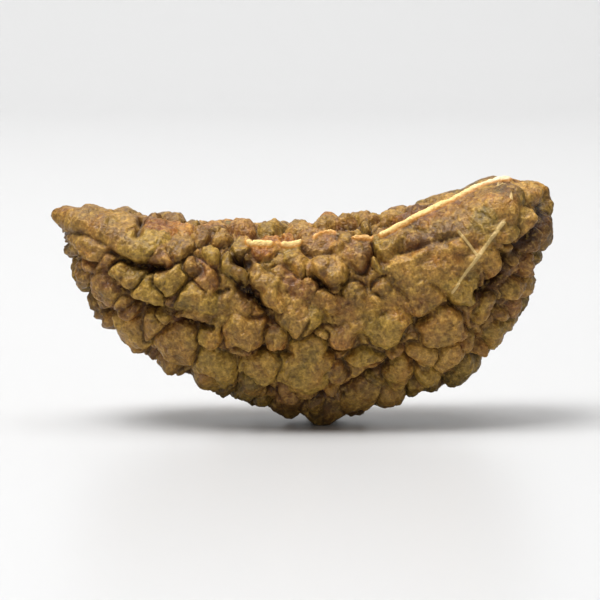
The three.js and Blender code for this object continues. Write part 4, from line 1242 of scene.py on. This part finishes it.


# hard dry seed stone with a trace of oil: warm brown knobs with a soft shine, furrows painted
# nearly black with dark dirt and painted shade, painted shade in the hollows, on the underside and
# along the outline, painted highlight on crests and ridges, and the face line painted pale gold as
# a painted highlight
def makeSeedStone():
    look = stoneLook
    material = bpy.data.materials.new("seedStone")
    material.use_nodes = True
    tree = material.node_tree
    tree.nodes.clear()

    def colour(name):
        return (*linearColour(look[name]), 1.0)

    place = addNode(tree, "ShaderNodeTexCoord").outputs["Object"]
    scaled = addNode(
        tree, "ShaderNodeMapping", {"Scale": (1 / mm, 1 / mm, 1 / mm)}, {"Vector": place}
    ).outputs["Vector"]

    def attribute(name, output="Fac"):
        return addNode(tree, "ShaderNodeAttribute", {".attribute_name": name}).outputs[output]

    def noise(size, detail=2.0):
        return addNode(
            tree, "ShaderNodeTexNoise", {"Scale": 1 / size, "Detail": detail}, {"Vector": scaled}
        ).outputs["Fac"]

    def span(source, low, high, start=0.0, end=1.0):
        return addNode(
            tree, "ShaderNodeMapRange",
            {"From Min": low, "From Max": high, "To Min": start, "To Max": end},
            {"Value": source},
        ).outputs["Result"]

    def blend(share, first, second, kind="MIX"):
        node = addNode(tree, "ShaderNodeMix", {".data_type": "RGBA", ".blend_type": kind})
        for socket, value in ((0, share), (6, first), (7, second)):
            if isinstance(value, (float, int, tuple)):
                node.inputs[socket].default_value = value
            else:
                tree.links.new(value, node.inputs[socket])
        return node.outputs[2]

    def times(first, second):
        node = addNode(tree, "ShaderNodeMath", {".operation": "MULTIPLY"})
        for socket, value in ((0, first), (1, second)):
            if isinstance(value, (float, int)):
                node.inputs[socket].default_value = value
            else:
                tree.links.new(value, node.inputs[socket])
        return node.outputs[0]

    mottle = noise(look["mottleMm"], 3)
    patch = noise(look["patchMm"], 3)
    grain = noise(look["grainMm"], 2)
    base = attribute("knobTint", "Color")
    def tinted(base, source, low, high, share, name):
        return blend(span(source, low, high, 0, look[share]), base, colour(name))

    # patches of the fruit's skin, then the knobs with painted highlight on crests and ridges, and
    # painted shade in the hollows, in the furrows, on the underside and along the outline
    base = tinted(base, mottle, 0.5, 0.68, "redShare", "redColour")
    base = tinted(base, mottle, 0.48, 0.33, "oliveShare", "oliveColour")
    base = tinted(base, patch, 0.35, 0.7, "crestToneAndHighlightShare", "crestToneAndHighlightColour")
    # painted highlight on the tops of the granules and painted shade in their low parts
    base = tinted(base, attribute("granule"), 0.45, 0.95, "crestToneAndHighlightShare", "crestToneAndHighlightColour")
    base = blend(1.0, base, span(attribute("granule"), 0.1, 0.85, 0.62, 1.36), "MULTIPLY")
    # red-brown patches: tone of the seed, with painted shade in the hollows
    base = blend(attribute("stainAndShade"), base, colour("stainAndShadeColour"))
    # painted highlight along the ridges
    base = blend(times(attribute("raised"), look["ridgeHighlightShare"]), base, colour("crestToneAndHighlightColour"))
    # painted shade: the low places and the creases between knobs are darker
    base = tinted(base, attribute("lift"), 0.45, 0.0, "hollowShadeShare", "hollowShadeColour")
    base = tinted(base, attribute("gap"), 0.2, 0.0, "creaseShadeShare", "hollowShadeColour")
    # the furrows darkened: dark dirt and painted shade
    base = tinted(base, attribute("sunk"), 0.15, 1.0, "furrowDirtAndShadeShare", "furrowDirtAndShadeColour")
    places = addNode(tree, "ShaderNodeSeparateXYZ", links={"Vector": scaled})
    # painted shade, darker toward the bottom
    base = tinted(base, places.outputs["Z"], *look["underMm"], "rimShare", "underAndOutlineShadeColour")
    # painted shade along the outline seen from the front
    base = blend(times(attribute("edge"), look["outlineShadeShare"]), base, colour("underAndOutlineShadeColour"))
    # flecks, pores and grain
    fleck = noise(look["fleckMm"], 2)
    base = blend(1.0, base, span(fleck, 0.5, 0.64, 1.0, 1.35), "MULTIPLY")
    base = tinted(base, fleck, 0.54, 0.66, "fleckShare", "fleckColour")
    base = tinted(base, fleck, 0.45, 0.33, "poreShare", "poreColour")
    base = blend(1.0, base, span(grain, 0.36, 0.64, 0.8, 1.2), "MULTIPLY")
    # fibres, and the face line in pale gold as painted highlight, paler toward the lobe
    base = tinted(base, attribute("fibre"), 0.4, 0.62, "fibreShare", "fibreColour")
    pale = span(places.outputs["X"], *look["paleFromMm"])
    line = blend(pale, colour("lineHighlightColour"), colour("paleLineHighlightColour"))
    # the face line and its edge are painted pale gold, as painted highlight
    base = tinted(base, attribute("faceLine"), 0.2, 0.42, "lineEdgeHighlightShare", "lineEdgeHighlightColour")
    base = blend(span(attribute("faceLine"), 0.42, 0.66, 0, 1), base, line)
    smoothest, roughest = look["roughness"] - look["smoother"], look["roughness"] + look["rougher"]
    rough = span(patch, 0.3, 0.7, smoothest, roughest)
    bumpFine = addNode(
        tree, "ShaderNodeBump", {"Strength": 1.0, "Distance": look["grainBumpMm"] * mm},
        {"Height": grain},
    )
    bump = addNode(
        tree, "ShaderNodeBump", {"Strength": 0.8, "Distance": look["fleckBumpMm"] * mm},
        {"Height": fleck, "Normal": bumpFine.outputs["Normal"]},
    )
    shader = addNode(
        tree, "ShaderNodeBsdfPrincipled", {"IOR": look["ior"], "Specular IOR Level": look["gloss"]},
        {"Base Color": base, "Roughness": rough, "Normal": bump.outputs["Normal"]},
    )
    addNode(tree, "ShaderNodeOutputMaterial", links={"Surface": shader.outputs["BSDF"]})
    return material


floorLook = {
    "colour": "#c8c8c8",
    "roughness": 0.35,
}


# white paint, half matt: a plain pale floor that only shows the soft shadow of the bead
def makeFloorPaint():
    material = bpy.data.materials.new("matWhitePaint")
    material.use_nodes = True
    shader = material.node_tree.nodes["Principled BSDF"]
    shader.inputs["Base Color"].default_value = (*linearColour(floorLook["colour"]), 1.0)
    shader.inputs["Roughness"].default_value = floorLook["roughness"]
    return material


# the bead
bead = makeBead()
bead.data.materials.append(makeSeedStone())
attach(bead, "root")
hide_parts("bead")
print("bead made")

# floor, lights and camera
studio = {
    "floorFront": 1.5,
    "floorBack": 0.45,
    "sweepRadius": 0.3,
    "sweepSteps": 16,
    "wallHeight": 1.2,
    "floorWidth": 3.0,
    "keySize": 0.5,
    "keyPower": 8.5,
    "keyPlace": (-0.3, -0.2, 0.85),
    "fillSize": 0.6,
    "fillPower": 0.5,
    "fillPlace": (0.5, -0.9, 0.3),
    "backSize": 0.8,
    "backPower": 7.0,
    "backPlace": (0.0, 0.15, 0.9),
    "backAim": (0.0, 0.7, 0.15),
    "worldColour": "#ffffff",
    "worldStrength": 0.18,
    "lens": 180.0,
    "sensorWidth": 36.0,
    "clipStart": 0.005,
    "tilt": 6.0,
    "frameShare": 0.82,
}


def makeFloor():
    radius, back = studio["sweepRadius"], studio["floorBack"]
    profile = [(-studio["floorFront"], 0)]
    for step in range(studio["sweepSteps"] + 1):
        turn = math.pi / 2 * step / studio["sweepSteps"]
        profile.append((back + radius * math.sin(turn), radius - radius * math.cos(turn)))
    profile.append((back + radius, studio["wallHeight"]))
    half = studio["floorWidth"] / 2
    corners = [(x, y, z) for y, z in profile for x in (-half, half)]
    faces = [(2 * k, 2 * k + 1, 2 * k + 3, 2 * k + 2) for k in range(len(profile) - 1)]
    mesh = bpy.data.meshes.new("floor")
    mesh.from_pydata(corners, [], faces)
    mesh.polygons.foreach_set("use_smooth", [True] * len(faces))
    mesh.materials.append(makeFloorPaint())
    floor = bpy.data.objects.new("floor", mesh)
    bpy.context.scene.collection.objects.link(floor)


def makeLight(name, place, size, power, aim):
    data = bpy.data.lights.new(name, "AREA")
    data.size = size
    data.energy = power
    light = bpy.data.objects.new(name, data)
    light.location = place
    light.rotation_euler = (Vector(aim) - Vector(place)).to_track_quat("-Z", "Y").to_euler()
    bpy.context.scene.collection.objects.link(light)


def makeCamera(low, high):
    middle = (Vector(low) + Vector(high)) / 2
    length = high[0] - low[0]
    data = bpy.data.cameras.new("camera")
    data.lens = studio["lens"]
    data.sensor_width = studio["sensorWidth"]
    data.clip_start = studio["clipStart"]
    distance = length / studio["frameShare"] * studio["lens"] / data.sensor_width
    tilt = math.radians(studio["tilt"])
    camera = bpy.data.objects.new("camera", data)
    back = Vector((0, -math.cos(tilt), math.sin(tilt)))
    camera.location = middle + back * distance
    camera.rotation_euler = (-back).to_track_quat("-Z", "Y").to_euler()
    bpy.context.scene.collection.objects.link(camera)
    bpy.context.scene.camera = camera


def makeWorld():
    world = bpy.data.worlds.new("softRoom")
    world.use_nodes = True
    backdrop = world.node_tree.nodes["Background"]
    backdrop.inputs["Color"].default_value = (*linearColour(studio["worldColour"]), 1.0)
    backdrop.inputs["Strength"].default_value = studio["worldStrength"]
    bpy.context.scene.world = world


low, high = [list(corner) for corner in cadBox]
aim = (0, 0, (low[2] + high[2]) / 2)
makeFloor()
makeWorld()
makeLight("key", studio["keyPlace"], studio["keySize"], studio["keyPower"], aim)
makeLight("fill", studio["fillPlace"], studio["fillSize"], studio["fillPower"], aim)
makeLight("back", studio["backPlace"], studio["backSize"], studio["backPower"], studio["backAim"])
makeCamera(low, high)
bpy.context.scene.view_settings.view_transform = "Standard"
print("studio made")
